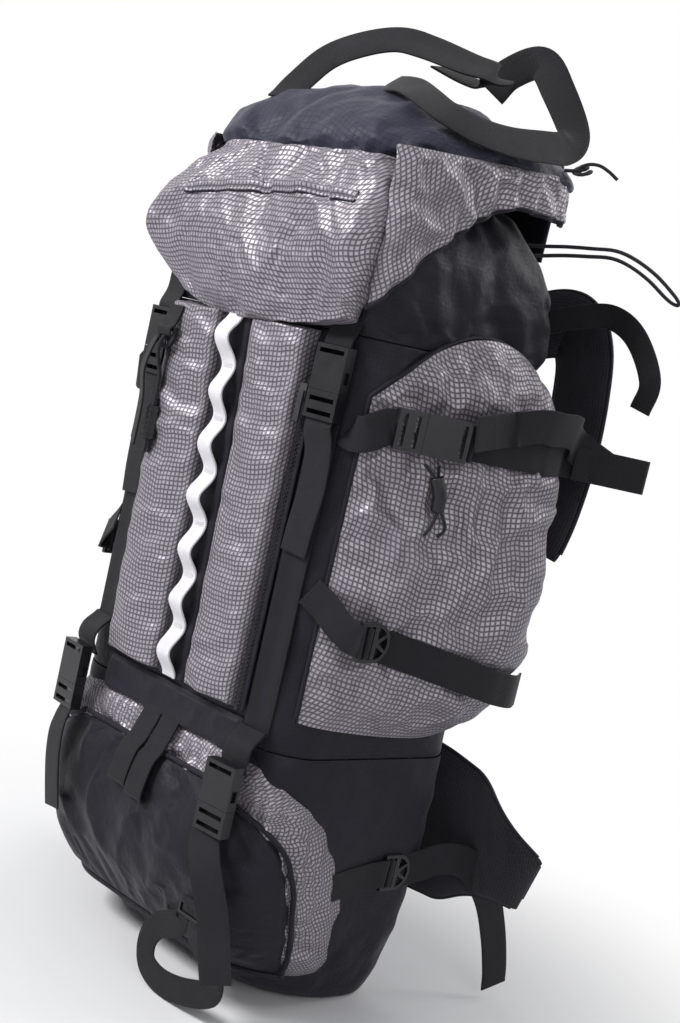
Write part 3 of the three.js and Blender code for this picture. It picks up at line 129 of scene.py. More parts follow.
def bump_node(tree, height, strength, distance, below=None):
    node = add_node(tree, "Bump", {"Height": height, "Strength": strength, "Distance": distance})
    if below is not None:
        tree.links.new(below, node.inputs["Normal"])
    return node.outputs["Normal"]


def object_place(tree):
    return tree.nodes.new("ShaderNodeTexCoord").outputs["Object"]


def uv_place(tree):
    """A piece's UV map, and its ways along and across."""
    uv = tree.nodes.new("ShaderNodeUVMap").outputs["UV"]
    split = add_node(tree, "SeparateXYZ", {"Vector": uv})
    return uv, split.outputs["X"], split.outputs["Y"]


def finish(piece, material, body, *nodes):
    """Gives a piece its material and slot, the body it rides on and the nodes it stands for."""
    piece.data.materials.clear()
    piece.data.materials.append(material)
    if body:
        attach(piece, body)
    if nodes:
        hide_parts(*nodes)
    return piece


def braid_finish():
    material, tree, shader = node_tree("braid_black")
    uv, along, around = uv_place(tree)
    strand_turns = 3600.0
    one = math_node(tree, "SINE", times(tree, plus(tree, along, around), strand_turns))
    two = math_node(tree, "SINE", times(tree, math_node(tree, "SUBTRACT", along, around), strand_turns))
    strands = math_node(tree, "MAXIMUM", one, two)
    light = times(tree, plus(tree, strands, noise_node(tree, uv, 900.0)), 0.4)
    feed(tree, shader, {
        "Base Color": mix_colour(tree, light, (0.006, 0.006, 0.009), (0.04, 0.038, 0.048)),
        "Normal": bump_node(tree, strands, 0.5, 0.0004),
        "Roughness": 0.62, "Sheen Weight": 0.08, "Specular IOR Level": 0.15,
    })
    return material


braid = braid_finish()


def smooth_route(points, steps):
    """Points in millimetres to a Catmull-Rom route in metres."""
    places = [Vector(p) * MM for p in points]
    ends = [2 * places[0] - places[1], *places, 2 * places[-1] - places[-2]]
    spans = len(places) - 1
    route = []
    for i in range(steps + 1):
        t = i / steps * spans
        k = min(int(t), spans - 1)
        f = t - k
        a, b, c, d = ends[k:k + 4]
        route.append(0.5 * (2 * b + (c - a) * f + (2 * a - 5 * b + 4 * c - d) * f ** 2
                            + (3 * b - a - 3 * c + d) * f ** 3))
    return route


def ahead_at(route, k):
    """The way a route runs at its point k, not yet of unit length."""
    return route[min(k + 1, len(route) - 1)] - route[max(k - 1, 0)]


def add_object(name, form):
    mesh = bpy.data.meshes.new(name)
    form.to_mesh(mesh)
    form.free()
    piece = bpy.data.objects.new(name, mesh)
    scene.collection.objects.link(piece)
    return piece


def grid_piece(name, columns, rows, place, loop=False, thick=0.0, offset=-1.0, held=None):
    """A grid laid out by place(u, v) in metres, with a UV map in metres along both its ways."""
    form = bmesh.new()
    uv = form.loops.layers.uv.new("cloth")
    weight = form.verts.layers.deform.verify() if held else None
    bmesh.ops.create_grid(form, x_segments=columns, y_segments=rows, size=0.5)
    spots = {v: (round((v.co.x + 0.5) * columns), round((v.co.y + 0.5) * rows)) for v in form.verts}
    at = {}
    for vertex, (i, j) in spots.items():
        vertex.co = Vector(place(i / columns, j / rows))
        at[i, j] = vertex.co.copy()
        if held:
            vertex[weight][0] = held(i / columns, j / rows)
    across, upward = {}, {}
    for j in range(rows + 1):
        for i in range(columns + 1):
            across[i, j] = across[i - 1, j] + (at[i, j] - at[i - 1, j]).length if i else 0.0
            upward[i, j] = upward[i, j - 1] + (at[i, j] - at[i, j - 1]).length if j else 0.0
    for face in form.faces:
        for corner in face.loops:
            i, j = spots[corner.vert]
            corner[uv].uv = (across[i, j] - across[columns, j] / 2, upward[i, j])
        face.smooth = True
    if loop:
        bmesh.ops.remove_doubles(form, verts=form.verts, dist=1e-5)
        form.normal_update()
        if form.calc_volume(signed=True) < 0:
            bmesh.ops.reverse_faces(form, faces=form.faces)
    piece = add_object(name, form)
    if held:
        piece.vertex_groups.new(name="held")
    if thick:
        shell = piece.modifiers.new("wall", "SOLIDIFY")
        shell.thickness = thick * MM
        shell.offset = offset
    return piece


def tube_piece(name, route, radius, sides=8):
    """A round cord along a route in metres, closed at its ends. Its radius is in millimetres."""
    turn = []
    up = (route[1] - route[0]).normalized().orthogonal()
    for k in range(len(route)):
        ahead = ahead_at(route, k).normalized()
        up = (up - ahead * up.dot(ahead)).normalized()
        turn.append((up.copy(), ahead.cross(up)))

    def place(u, v):
        k = round(u * (len(route) - 1))
        one, two = turn[k]
        angle = -2 * math.pi * v
        return route[k] + radius * MM * (math.cos(angle) * one + math.sin(angle) * two)

    piece = grid_piece(name, len(route) - 1, sides, place)
    form = bmesh.new()
    form.from_mesh(piece.data)
    bmesh.ops.remove_doubles(form, verts=form.verts, dist=1e-6)
    bmesh.ops.holes_fill(form, edges=form.edges, sides=sides + 2)
    bmesh.ops.recalc_face_normals(form, faces=form.faces)
    form.to_mesh(piece.data)
    form.free()
    return piece


def cord_piece(name, route, radius, body, far_end, lay, *nodes, sides=8):
    """A free cord. Its route is in metres and its radius in millimetres."""
    cord = finish(tube_piece(name, route, radius, sides), braid, body, *nodes)


drawcord_route = smooth_route([
    (112.4, 71.1, 712), (124, 84, 715), (141, 97, 719), (158, 111, 722), (170, 130, 725), (177, 152, 722),
    (182, 180, 714), (185, 206, 703), (186, 217, 697), (183.5, 221.5, 694), (180.5, 216, 694.5),
    (178.5, 204, 698.5), (175, 180, 708.5), (170, 154, 716), (163, 134, 718.5), (151, 115, 715),
    (137, 101, 711.5), (125.5, 86, 707), (119.6, 75, 704),
], 72)
cord_piece("drawcord_braid", drawcord_route, 1.75, "pack", "object", "hanging", "drawcord", sides=10)
d_ring_x = -80
elastic_route = smooth_route([(d_ring_x, y, z) for y, z in (
    (-145.8, 456), (-145.8, 480), (-145.8, 505), (-145.8, 528), (-146.6, 543), (-148, 553), (-149.2, 559),
    (-152.4, 562), (-156, 561), (-158.6, 556), (-158.8, 549), (-156, 539), (-151.6, 526), (-150.8, 505),
    (-150.8, 480), (-150.8, 456))], 60)
cord_piece("elastic_cord", elastic_route, 2, "d_ring", "object", "hanging", "bungee_cord", sides=10)


# Three cloths make the bag: a silver-grey ripstop whose dark threads cross every few millimetres, a
# plain black coated weave, and a dark navy ripstop on the lid. They share one group for the weave.
def weave_group():
    group = bpy.data.node_groups.new("weave", "ShaderNodeTree")
    for way, kind, names in (("INPUT", "Vector", ["Vector"]), ("INPUT", "Float", ["Cell", "Line"]),
                             ("INPUT", "Color", ["Ground", "Thread", "Dirt"]), ("OUTPUT", "Color", ["Color"]),
                             ("OUTPUT", "Float", ["Height", "Roughness"])):
        for name in names:
            group.interface.new_socket(name, in_out=way, socket_type="NodeSocket" + kind)
    given = group.nodes.new("NodeGroupInput").outputs
    drift = add_node(group, "TexNoise", {"Vector": given["Vector"], "Scale": 40})
    wander = group.nodes.new("ShaderNodeVectorMath")
    wander.operation = "MULTIPLY_ADD"
    feed(group, wander, {0: drift.outputs["Color"], 1: (0.0012, 0.0012, 0), 2: given["Vector"]})
    ways = add_node(group, "SeparateXYZ", {"Vector": wander.outputs[0]}).outputs
    lines, fine = [], []
    for axis in ("X", "Y"):
        wrapped = math_node(group, "FRACT", math_node(group, "DIVIDE", ways[axis], given["Cell"]))
        away = math_node(group, "ABSOLUTE", math_node(group, "SUBTRACT", wrapped, 0.5))
        soft = group.nodes.new("ShaderNodeMapRange")
        soft.interpolation_type = "SMOOTHSTEP"
        feed(group, soft, {"Value": math_node(group, "SUBTRACT", 0.5, away), "From Min": 0.0,
                           "From Max": given["Line"], "To Min": 1.0, "To Max": 0.0})
        lines.append(soft.outputs["Result"])
        fine.append(math_node(group, "SINE", times(group, ways[axis], 9000.0)))
    grid = math_node(group, "MAXIMUM", *lines)
    threads = times(group, *fine)
    speck = noise_node(group, given["Vector"], 700.0, 2.0)
    blotch = noise_node(group, given["Vector"], 14.0, 4.0, 0.6)
    tint = times(group, plus(group, speck, times(group, threads, 0.2)), 0.5)
    ground = mix_colour(group, tint, given["Ground"], given["Dirt"])
    woven = mix_colour(group, grid, ground, given["Thread"])
    worn = add_node(group, "MapRange", {"Value": blotch, "From Min": 0.5, "From Max": 0.8, "To Max": 0.5})
    feed(group, group.nodes.new("NodeGroupOutput"), {
        "Color": mix_colour(group, worn.outputs["Result"], woven, given["Dirt"]),
        "Height": plus(group, times(group, grid, 0.8), times(group, threads, 0.16)),
        "Roughness": plus(group, 0.36, times(group, plus(group, grid, blotch), 0.2)),
    })
    return group


weave = weave_group()


def cloth_finish(name, ground, thread, dirt, cell, line, sheen, rough_shift=0.0, crease=0.5, metal=0.0):
    material, tree, shader = node_tree(name)
    cloth = tree.nodes.new("ShaderNodeGroup")
    cloth.node_tree = weave
    feed(tree, cloth, {"Vector": uv_place(tree)[0], "Cell": cell, "Line": line,
                       "Ground": ground, "Thread": thread, "Dirt": dirt})
    place = object_place(tree)
    broad = noise_node(tree, place, 16.0, 2.0, 0.5)
    folds = plus(tree, noise_node(tree, place, 55.0, 4.0, 0.55), times(tree, broad, 1.5))
    creases = bump_node(tree, folds, crease, 0.004)
    feed(tree, shader, {
        "Base Color": cloth.outputs["Color"],
        "Roughness": plus(tree, cloth.outputs["Roughness"], rough_shift),
        "Normal": bump_node(tree, cloth.outputs["Height"], 0.35, 0.0003, creases),
        "Sheen Weight": sheen, "Sheen Roughness": 0.4, "Sheen Tint": (0.9, 0.88, 1),
        "Metallic": metal, "Specular IOR Level": 0.5 if metal else 0.14,
    })
    return material


silver = cloth_finish("ripstop_silver", (0.4, 0.366, 0.412), (0.062, 0.052, 0.068),
                      (0.17, 0.15, 0.18), 0.0043, 0.36, 0.06, -0.1, 0.55, 0.35)
black = cloth_finish("cloth_black", (0.0105, 0.0095, 0.0145), (0.008, 0.007, 0.011),
                     (0.02, 0.018, 0.027), 0.004, 0.05, 0.06, 0.04)
navy = cloth_finish("ripstop_navy", (0.022, 0.024, 0.04), (0.012, 0.013, 0.024),
                    (0.045, 0.047, 0.07), 0.006, 0.08, 0.16)


# The bag's own wall is the black coated weave, cut as a rounded box that draws in at its base, with its
# front at -Y. A run is a length in millimetres round the wall from the middle of the front.
bag_half_width, bag_front, bag_back, bag_corner = 156.0, 122.0, 100.0, 42.0
seam_height, bag_top = 243, 600
base_round_height, base_power = 150.0, 1.6
base_inset_side, base_inset_front, base_inset_back, base_front_corner = 26.0, 84.0, 10.0, 88.0


def clamped(value):
    return min(1.0, max(0.0, value))


def box_length(half, front, back, front_corner, back_corner):
    """Half the way round a rounded box."""
    return (half - front_corner) + front_corner * math.pi / 2 + (front + back - front_corner - back_corner) \
        + back_corner * math.pi / 2 + (half - back_corner)


def box_plan(length, half, front, back, front_corner, back_corner, grow=0.0):
    """x and y on half a rounded box, a length round it from the middle of its front, grown outwards."""
    if length <= half - front_corner:
        return length, -front - grow
    length -= half - front_corner
    if length <= front_corner * math.pi / 2:
        angle = length / front_corner
        return (half - front_corner + (front_corner + grow) * math.sin(angle),
                front_corner - front - (front_corner + grow) * math.cos(angle))
    length -= front_corner * math.pi / 2
    flat = front + back - front_corner - back_corner
    if length <= flat:
        return half + grow, front_corner - front + length
    length -= flat
    if length <= back_corner * math.pi / 2:
        angle = length / back_corner
        return (half - back_corner + (back_corner + grow) * math.cos(angle),
                back - back_corner + (back_corner + grow) * math.sin(angle))
    return half - back_corner - (length - back_corner * math.pi / 2), back + grow


def wall_sizes(height):
    draw = 1 - (1 - (1 - clamped(height / base_round_height)) ** base_power) ** (1 / base_power)
    front_corner = bag_corner + draw * (base_front_corner - bag_corner)
    return (bag_half_width - draw * base_inset_side, bag_front - draw * base_inset_front,
            bag_back - draw * base_inset_back, front_corner, bag_corner)


def wall(run, grow, height):
    """A point on the bag's wall, in millimetres, grown outwards by grow."""
    x, y = box_plan(abs(run), *wall_sizes(height), grow)
    return Vector((x if run >= 0 else -x, y, height))


def outward(run, height=300.0):
    return (wall(run, 30, height) - wall(run, 0, height)).normalized()


def rumple(point, scale, depth, seed=0.0):
    """Soft creases: a folded noise along a point in millimetres."""
    spot = Vector(point) / scale + Vector((seed, 3.1 * seed, 7.7))
    return depth * (1 - 2 * abs(noise.noise(spot)) ** 0.7) * 0.5 + 0.4 * depth * noise.noise(spot * 2.3)


def billow(piece, swell, pressure, most, frames=14, stiff=15.0, bend=0.4):
    """Lets a sewn shell fill out: cloth a little too large for its form, under light pressure."""
    before = [v.co.copy() for v in piece.data.vertices]
    normals = [v.normal.copy() for v in piece.data.vertices]
    cloth = piece.modifiers.new("billow", "CLOTH")
    bpy.context.view_layer.objects.active = piece
    while piece.modifiers.find("billow") > 0:
        piece.modifiers.move(piece.modifiers.find("billow"), 0)
    others = [m for m in piece.modifiers if m.name != "billow"]
    for modifier in others:
        modifier.show_viewport = False
    fabric = cloth.settings
    fabric.quality = 4
    fabric.mass = 0.25
    fabric.tension_stiffness = fabric.compression_stiffness = stiff
    fabric.shear_stiffness = stiff / 3
    fabric.bending_stiffness = bend
    fabric.tension_damping = fabric.compression_damping = 8
    fabric.vertex_group_mass = "held"
    fabric.shrink_min = fabric.shrink_max = -swell
    fabric.use_pressure = True
    fabric.uniform_pressure_force = pressure
    fabric.effector_weights.gravity = 0
    cloth.collision_settings.use_collision = False
    cloth.point_cache.frame_start = 1
    cloth.point_cache.frame_end = frames
    for number in range(1, frames + 1):
        scene.frame_set(number)
    soft = piece.evaluated_get(bpy.context.evaluated_depsgraph_get())
    after = [v.co.copy() for v in soft.data.vertices]
    piece.modifiers.remove(cloth)
    for modifier in others:
        modifier.show_viewport = True
    scene.frame_set(1)
    for vertex, old, new, normal in zip(piece.data.vertices, before, after, normals):
        step = new - old
        out = step.dot(normal)
        low = -0.5 * most * MM
        if out < low:
            step += normal * (low - out)
        if step.length > most * MM:
            step *= most * MM / step.length
        vertex.co = old + step
    piece.data.update()


def subdivide(piece):
    finer = piece.modifiers.new("finer", "SUBSURF")
    finer.levels = finer.render_levels = 1
    return piece


def sewn(name, columns, rows, place, cloth, body, *nodes, puff=None, **cut):
    """One sewn piece. puff is how a stuffed one fills out: swell, pressure and the most it may move."""
    piece = finish(grid_piece(name, columns, rows, place, **cut), cloth, body, *nodes)
    if puff:
        billow(piece, *puff)
    return subdivide(piece)


def lower_bag_place(u, v):
    turn = 2 * u - 1
    floor_share = 0.16
    if v < floor_share:
        flat = wall(turn * box_length(*wall_sizes(0)), 0, 0)
        middle = Vector((0, 25, 0))
        return (middle + (flat - middle) * (v / floor_share)) * MM
    height = seam_height * ((v - floor_share) / (1 - floor_share)) ** 1.25
    run = turn * box_length(*wall_sizes(height))
    point = wall(run, 0, height)
    slack = min(1.0, height / 60) * min(1.0, (seam_height - height) / 12)
    if abs(point.x) > 150:
        slack *= 1 - math.exp(-((point.y - 30) / 60) ** 4 - ((height - 132) / 34) ** 4)
    return (point + outward(run, height) * (1 + slack * rumple(point, 46, 5.0, 1.0))) * MM


def upper_bag_place(u, v):
    height = seam_height + (bag_top - seam_height) * v
    run = (2 * u - 1) * box_length(*wall_sizes(height))
    point = wall(run, 0, height)
    slack = min(1.0, v / 0.04, (1 - v) / 0.04)
    if height > 440:
        slack *= 1 - math.exp(-((abs(run) - 118) / 26) ** 4)
    return (point + outward(run, height) * (0.2 + slack * rumple(point, 60, 5.0, 2.0))) * MM


sewn("lower_bag_cloth", 132, 48, lower_bag_place, black, "pack", "lower_bag", loop=True)
sewn("upper_bag_cloth", 132, 56, upper_bag_place, black, "pack", "upper_bag", loop=True, thick=1.2)


# The snow collar is a tube of thin black cloth on top of the bag. Its drawcord gathers the mouth, so
# upright pleats run down from the hem.
collar_height, collar_pleats = 148, 26
collar_rows = [(0, 0, 0), (0.12, 0.01, 0.7), (0.3, 0.06, 1), (0.5, 0.14, 0.8), (0.68, 0.28, 0),
               (0.86, 0.58, 0), (1, 1, 0)]


def between(rows, share, column=1):
    """Reads a table of shapes at a share of the way along it."""
    for low, high in zip(rows, rows[1:]):
        if share <= high[0] or high is rows[-1]:
            part = clamped((share - low[0]) / (high[0] - low[0]))
            return low[column] + (high[column] - low[column]) * part


def eased(rows, share, column=1):
    """The same table read with rounded turns."""
    reach = 0.06
    return sum(between(rows, min(rows[-1][0], max(rows[0][0], share + reach * k / 3)), column)
               for k in range(-3, 4)) / 7


def rounded_box(turn, *sizes):
    """A point on a rounded box plan: turn is 0 to 1 round it from the middle of its back."""
    x, y = box_plan(abs(turn - 0.5) * 2 * box_length(*sizes), *sizes)
    return Vector((x if turn >= 0.5 else -x, y, 0))


def hem_held(left, right, low, high):
    """Holds a piece of cloth at its seams while it fills out."""
    return lambda u, v: 1.0 if u < left or u > right or v < low or v > high else 0.0


def collar_place(u, v):
    part, bulge = eased(collar_rows, v, 1), eased(collar_rows, v, 2)

    def mix(low, high):
        return low + (high - low) * part

    point = rounded_box(u, mix(bag_half_width, 72) + 4 * bulge, mix(bag_front, 34),
                        mix(bag_back, 52) + 9 * bulge, mix(bag_corner, 30), mix(bag_corner, 30))
    point.z = bag_top + 0.3 + collar_height * v
    away = Vector((point.x, point.y - 10, 0)).normalized()
    pleat = math.sin(2 * math.pi * collar_pleats * u + 3 * noise.noise(Vector((u * 9, v, 0))))
    depth = min(1.0, v / 0.06) * (rumple(point, 52, 9.0, 3.0) - 1.5) + 3.2 * pleat * v ** 2.2
    return (point + away * depth) * MM


sewn("snow_collar_cloth", 168, 40, collar_place, black, "pack", "snow_collar", puff=(0.05, 0.6, 7.0),
     loop=True, thick=1.0, held=hem_held(0, 1, 0.04, 0.96))


# The lid's top is a stuffed pocket of dark navy ripstop over the mouth, higher at its back. It turns up
# about a sewn flap at the top of the back.
lid_half_width, lid_front, lid_back, lid_middle_y = 153, 130, 96, -17
lid_foot, lid_rise, lid_pitch = 745, 58, 0.1
lid_under, lid_crown_share = 0.2, 0.86
lid_rows = [(0, 0.03), (0.16, 0), (0.34, 0.07), (0.54, 0.2), (0.76, 0.42), (1, 0.82)]


def pitched(height, y):
    return height + lid_pitch * (y + lid_front)


def lid_ring(turn, share, drawn):
    inset = drawn * 96
    point = rounded_box(turn, lid_half_width - inset * 1.3, lid_front - inset, lid_back - inset,
                        max(6, 90 * (1 - drawn)), max(6, 46 * (1 - drawn)))
    point.z = pitched(lid_foot + share * lid_rise, point.y)
    return point


def lid_top_place(u, v):
    if v < lid_under:
        middle = Vector((0, lid_middle_y, pitched(lid_foot + 2, lid_middle_y)))
        return (middle + (lid_ring(u, 0, 0.03) - middle) * (v / lid_under)) * MM
    share = (v - lid_under) / (1 - lid_under)
    if share < lid_crown_share:
        rise = share / lid_crown_share
        point = lid_ring(u, rise, eased(lid_rows, rise))
    else:
        inner = (share - lid_crown_share) / (1 - lid_crown_share)
        edge = lid_ring(u, 1, 0.81)
        middle = Vector((0, lid_middle_y, pitched(lid_foot + lid_rise + 3, lid_middle_y)))
        point = edge + (middle - edge) * inner
    away = Vector((point.x / 153, (point.y - lid_middle_y) / 113, 1.2 * share)).normalized()
    return (point + away * (min(1.0, share / 0.08) * rumple(point, 58, 9.0, 5.0) - 1.5)) * MM


def flap_place(u, v):
    return Vector((-112 + 224 * u, 100 + 0.8 * math.sin(9 * u), 702 + 88 * v)) * MM


lid_top = sewn("lid_top_cloth", 132, 50, lid_top_place, navy, "lid", "lid_top", puff=(0.05, 1.4, 8.0),
               loop=True, held=hem_held(0, 1, 0.22, 1))
finish(grid_piece("lid_flap_cloth", 40, 12, flap_place, thick=2.2, offset=0), black, "lid")


# The lid's front pocket is a fat bag of silver ripstop that droops over the front of the pack. A zip
# runs along it near its top: a coil of teeth and, over it, a welt of ripstop with a corded edge.
pocket_foot_height, pocket_tall, pocket_half_width = 594, 150.7, 152
pocket_cap = 0.1
lid_pocket_rows = [(0, 0.9, 0.6), (0.07, 0.96, 0.86), (0.25, 0.99, 0.97), (0.45, 1, 1), (0.68, 0.99, 0.9),
                   (0.88, 0.94, 0.68), (1, 0.84, 0.42)]
lid_pocket_left = [(0, 0.6), (0.14, 0.78), (0.3, 0.9), (0.45, 0.93), (0.6, 0.86), (0.75, 0.72), (0.9, 0.62),
                   (1, 0.56)]


def lid_pocket_ring(turn, share):
    wide, deep = eased(lid_pocket_rows, share, 1), eased(lid_pocket_rows, share, 2)
    back = 115 + 10 * (1 - share)
    front = 115 + 45 * deep
    corner = min(22, (front - back) / 2 - 0.3)
    point = rounded_box(turn, wide * pocket_half_width, (front - back) / 2, (front - back) / 2, corner, corner)
    lift = (1 - share) * 20 * (point.x / pocket_half_width) ** 2
    if point.x < 0:
        point.x *= eased(lid_pocket_left, share)
    return Vector((point.x, point.y - (front + back) / 2, pocket_foot_height + share * pocket_tall + lift))


def lid_pocket_place(u, v):
    if v < pocket_cap:
        edge = lid_pocket_ring(u, 0)
        middle = Vector((edge.x * 0.9, -136, edge.z + 2))
        point = middle + (edge - middle) * (v / pocket_cap)
    elif v > 1 - pocket_cap:
        edge = lid_pocket_ring(u, 1)
        middle = Vector((edge.x * 0.9, -124, edge.z + 1))
        point = edge + (middle - edge) * ((v - (1 - pocket_cap)) / pocket_cap)
    else:
        point = lid_pocket_ring(u, (v - pocket_cap) / (1 - 2 * pocket_cap))
    facing = clamped((-point.y - 124) / 14)
    dent = 7 * math.exp(-((point.x - 70) / 34) ** 2 - ((point.z - 655) / 26) ** 2)
    dent += 6 * math.exp(-((point.x - 118) / 22) ** 2 - ((point.z - 628) / 30) ** 2)
    creases = rumple(point, 72, 11.0, 8.0) + rumple(point, 24, 2.6, 2.0)
    return (point + Vector((0, -1, 0)) * facing * (creases - dent)) * MM


def pocket_held_back(u, v):
    return 1.0 if v < pocket_cap or v > 1 - pocket_cap or abs(u - 0.5) > 0.3 else 0.0


lid_pocket = grid_piece("lid_pocket_cloth", 180, 60, lid_pocket_place, loop=True, held=pocket_held_back)
finish(lid_pocket, silver, "lid", "lid_front_pocket")
billow(lid_pocket, 0.045, 2.0, 8.0)
zip_line = []
for k in range(91):
    share = k / 90
    height = 694 + 15 * math.sin(math.pi * min(1.0, share * 1.25) / 2) - 5 * share
    ahead = Vector((-84 + 214 * share, -300, height)) * MM
    found, spot, normal, _ = lid_pocket.ray_cast(ahead, Vector((0, 1, 0)))
    if found:
        zip_line.append((spot, normal))
subdivide(lid_pocket)


def along_zip(off, rise):
    return [spot + (normal * off + Vector((0, 0, rise))) * MM for spot, normal in zip_line]


def welt_place(u, v):
    spot, normal = zip_line[round(u * (len(zip_line) - 1))]
    ends = min(1.0, 14 * u, 14 * (1 - u))
    lift = -0.6 + ends * (2 + 2.2 * math.sin(math.pi * v) + 0.5 * noise.noise(Vector((u * 24, v, 5))))
    return spot + normal * (lift * MM) + Vector((0, 0, (-2 + 10 * v) * MM))


finish(tube_piece("lid_pocket_zip_coil", along_zip(1.2, -2.6), 1.5), black, "lid")
sewn("lid_pocket_zip_welt", len(zip_line) - 1, 8, welt_place, silver, "lid", thick=1.0, offset=0)
finish(tube_piece("lid_pocket_zip_piping", along_zip(2.2, -2), 1.3), silver, "lid")


# Two side wings of silver ripstop hang from the lid and are gathered on an elastic hem, which rises
# towards the back.
wing_back, wing_pleats, hem_low, hem_climb = 76, 9, 622, 112
both_sides = (("left", -1), ("right", 1))


def wing_place(side):
    def place(u, v):
        start = -141 if side > 0 else -104
        y = start + (wing_back - start) * u
        top = pitched(lid_foot, y) + 9.3
        hem = hem_low + hem_climb * (1 - (1 - min(1.0, u * 1.5)) ** 1.6)
        x = 154.5 + 7 * (1 - v) ** 0.7 - 10 * max(0.0, 1 - u / 0.07) ** 2
        x -= 16 * max(0.0, (u - 0.84) / 0.16) ** 2
        if side < 0 and y < -66:
            x -= 75 - math.sqrt(max(0.0, 75 ** 2 - (-66 - y) ** 2))
        pleat = math.sin(2 * math.pi * (wing_pleats * u + 0.35 * noise.noise(Vector((u * 5, side, 0)))))
        point = Vector((side * x, y, hem + (top - hem) * v))
        slack = min(1.0, v / 0.05, (1 - v) / 0.08)
        loose = 2.6 * pleat * (1 - v) ** 1.3 + slack * (3.0 + rumple(point, 40, 8.0, 11.0 * side))
        return (point + Vector((side * loose, 0, 0))) * MM
    return place


for name, side in both_sides:
    wing = sewn(f"lid_wing_{name}_cloth", 72, 34, wing_place(side), silver, "lid", f"lid_wing_{name}",
                puff=(0.05, 0.8 * side, 5.0), thick=1.0, offset=-side, held=hem_held(0.02, 0.98, 0.04, 0.95))
    hem_route = [Vector(wing_place(side)(k / 60, 0.0)) for k in range(61)]
    finish(tube_piece(f"lid_wing_{name}_hem", hem_route, 2.3), black, "lid")


# The front: two padded panels of silver ripstop stand either side of a black strip. The strip carries a
# white tape, sewn down at intervals so that it stands off in loops.
panel_foot, panel_tall, strip_foot, strip_tall, strip_half_width = 268.5, 329, 268, 330, 20.8


def swell_at(v):
    return 11 * v ** 2


def panel_place(side):
    def place(u, v):
        inner = clamped((u - 0.05) / 0.9)
        rise = clamped((v - 0.02) / 0.96)
        run = 21.6 + 66 * inner
        height = panel_foot + panel_tall * rise
        grow = 13 + 5 * math.sin(math.pi * inner) + swell_at(rise) * (1 - inner / 2)
        if side < 0:
            grow += 12 * inner ** 1.5 * (1 - inner ** 6) * math.sin(math.pi * rise) ** 0.5
            run += 11 * inner ** 3
        if u < 0.04 or u > 0.96 or v < 0.015 or v > 0.985:
            grow = 0.6
        slack = min(1.0, inner * 8, (1 - inner) * 8)
        grow += slack * (rumple((run * 0.5, 0, height), 26, 6.0, 13.0 * side) - 1.0)
        return (wall(side * run, 0, height) + outward(side * run) * grow) * MM
    return place


def strip_place(u, v):
    grow = 9 + swell_at(v) + rumple((u * 40, 0, v * strip_tall), 26, 1.6, 4.0)
    if u < 0.06 or u > 0.94:
        grow = 0.6
    return wall((2 * u - 1) * strip_half_width, grow, strip_foot + strip_tall * v) * MM


for name, side in both_sides:
    sewn(f"front_panel_{name}_cloth", 26, 96, panel_place(side), silver, "pack", f"front_panel_{name}",
         puff=(0.035, 1.0 * side, 4.0), thick=1.0, offset=-side, held=hem_held(0.07, 0.93, 0.03, 0.97))
sewn("front_strip_cloth", 16, 80, strip_place, black, "pack", "front_strip", thick=1.0, offset=-1)


# Every strap is flat woven webbing: nylon with fine ribs across it and a tight edge. The white tape on
# the strip is the same weave, held down between its loops by bar tacks of white thread.
def webbing_finish(name, base, edge, wear):
    material, tree, shader = node_tree(name)
    uv, along, across = uv_place(tree)
    ribs = math_node(tree, "SINE", times(tree, along, 2 * math.pi / 0.0016))
    weft = times(tree, ribs, math_node(tree, "SINE", times(tree, across, 2 * math.pi / 0.0021)))
    speck = times(tree, noise_node(tree, uv, 600.0, 2.0), 0.4)
    fuzz = plus(tree, times(tree, plus(tree, weft, 1.0), 0.3), speck)
    blotch = noise_node(tree, uv, 30.0, 4.0, 0.65)
    rubbed = times(tree, math_node(tree, "MAXIMUM", math_node(tree, "SUBTRACT", blotch, 0.52), 0.0), 1.6)
    soft = bump_node(tree, noise_node(tree, object_place(tree), 70.0, 3.0), 0.25, 0.002)
    feed(tree, shader, {
        "Base Color": mix_colour(tree, rubbed, mix_colour(tree, fuzz, base, edge), wear),
        "Normal": bump_node(tree, plus(tree, weft, times(tree, ribs, 0.4)), 0.55, 0.0003, soft),
        "Roughness": plus(tree, 0.5, times(tree, blotch, 0.2)),
        "Sheen Weight": 0.05, "Specular IOR Level": 0.16,
    })
    return material


def thread_finish():
    material, tree, shader = node_tree("thread_white")
    wave = add_node(tree, "TexWave", {"Vector": object_place(tree), "Scale": 900, "Distortion": 1})
    twist = wave.outputs["Fac"]
    feed(tree, shader, {
        "Base Color": mix_colour(tree, twist, (0.4, 0.38, 0.4), (0.75, 0.73, 0.75)),
        "Normal": bump_node(tree, twist, 0.4, 0.0003), "Roughness": 0.6,
    })
    return material


webbing = webbing_finish("webbing_black", (0.004, 0.0035, 0.0055), (0.012, 0.011, 0.0145),
                         (0.022, 0.02, 0.026))
white_tape = webbing_finish("tape_white", (0.62, 0.6, 0.63), (0.8, 0.78, 0.82),
                            (0.5, 0.48, 0.5))


def round_edges(piece, width, angle):
    edge = piece.modifiers.new("edge", "BEVEL")
    edge.width = width * MM
    edge.segments = 2
    edge.limit_method = "ANGLE"
    edge.angle_limit = math.radians(angle)


def flat_frame(route, faces, k):
    """At point k of a route: the way across it and the way out of its flat side."""
    ahead = ahead_at(route, k).normalized()
    across = ahead.cross(faces[k] if isinstance(faces, list) else faces).normalized()
    return across, across.cross(ahead).normalized()


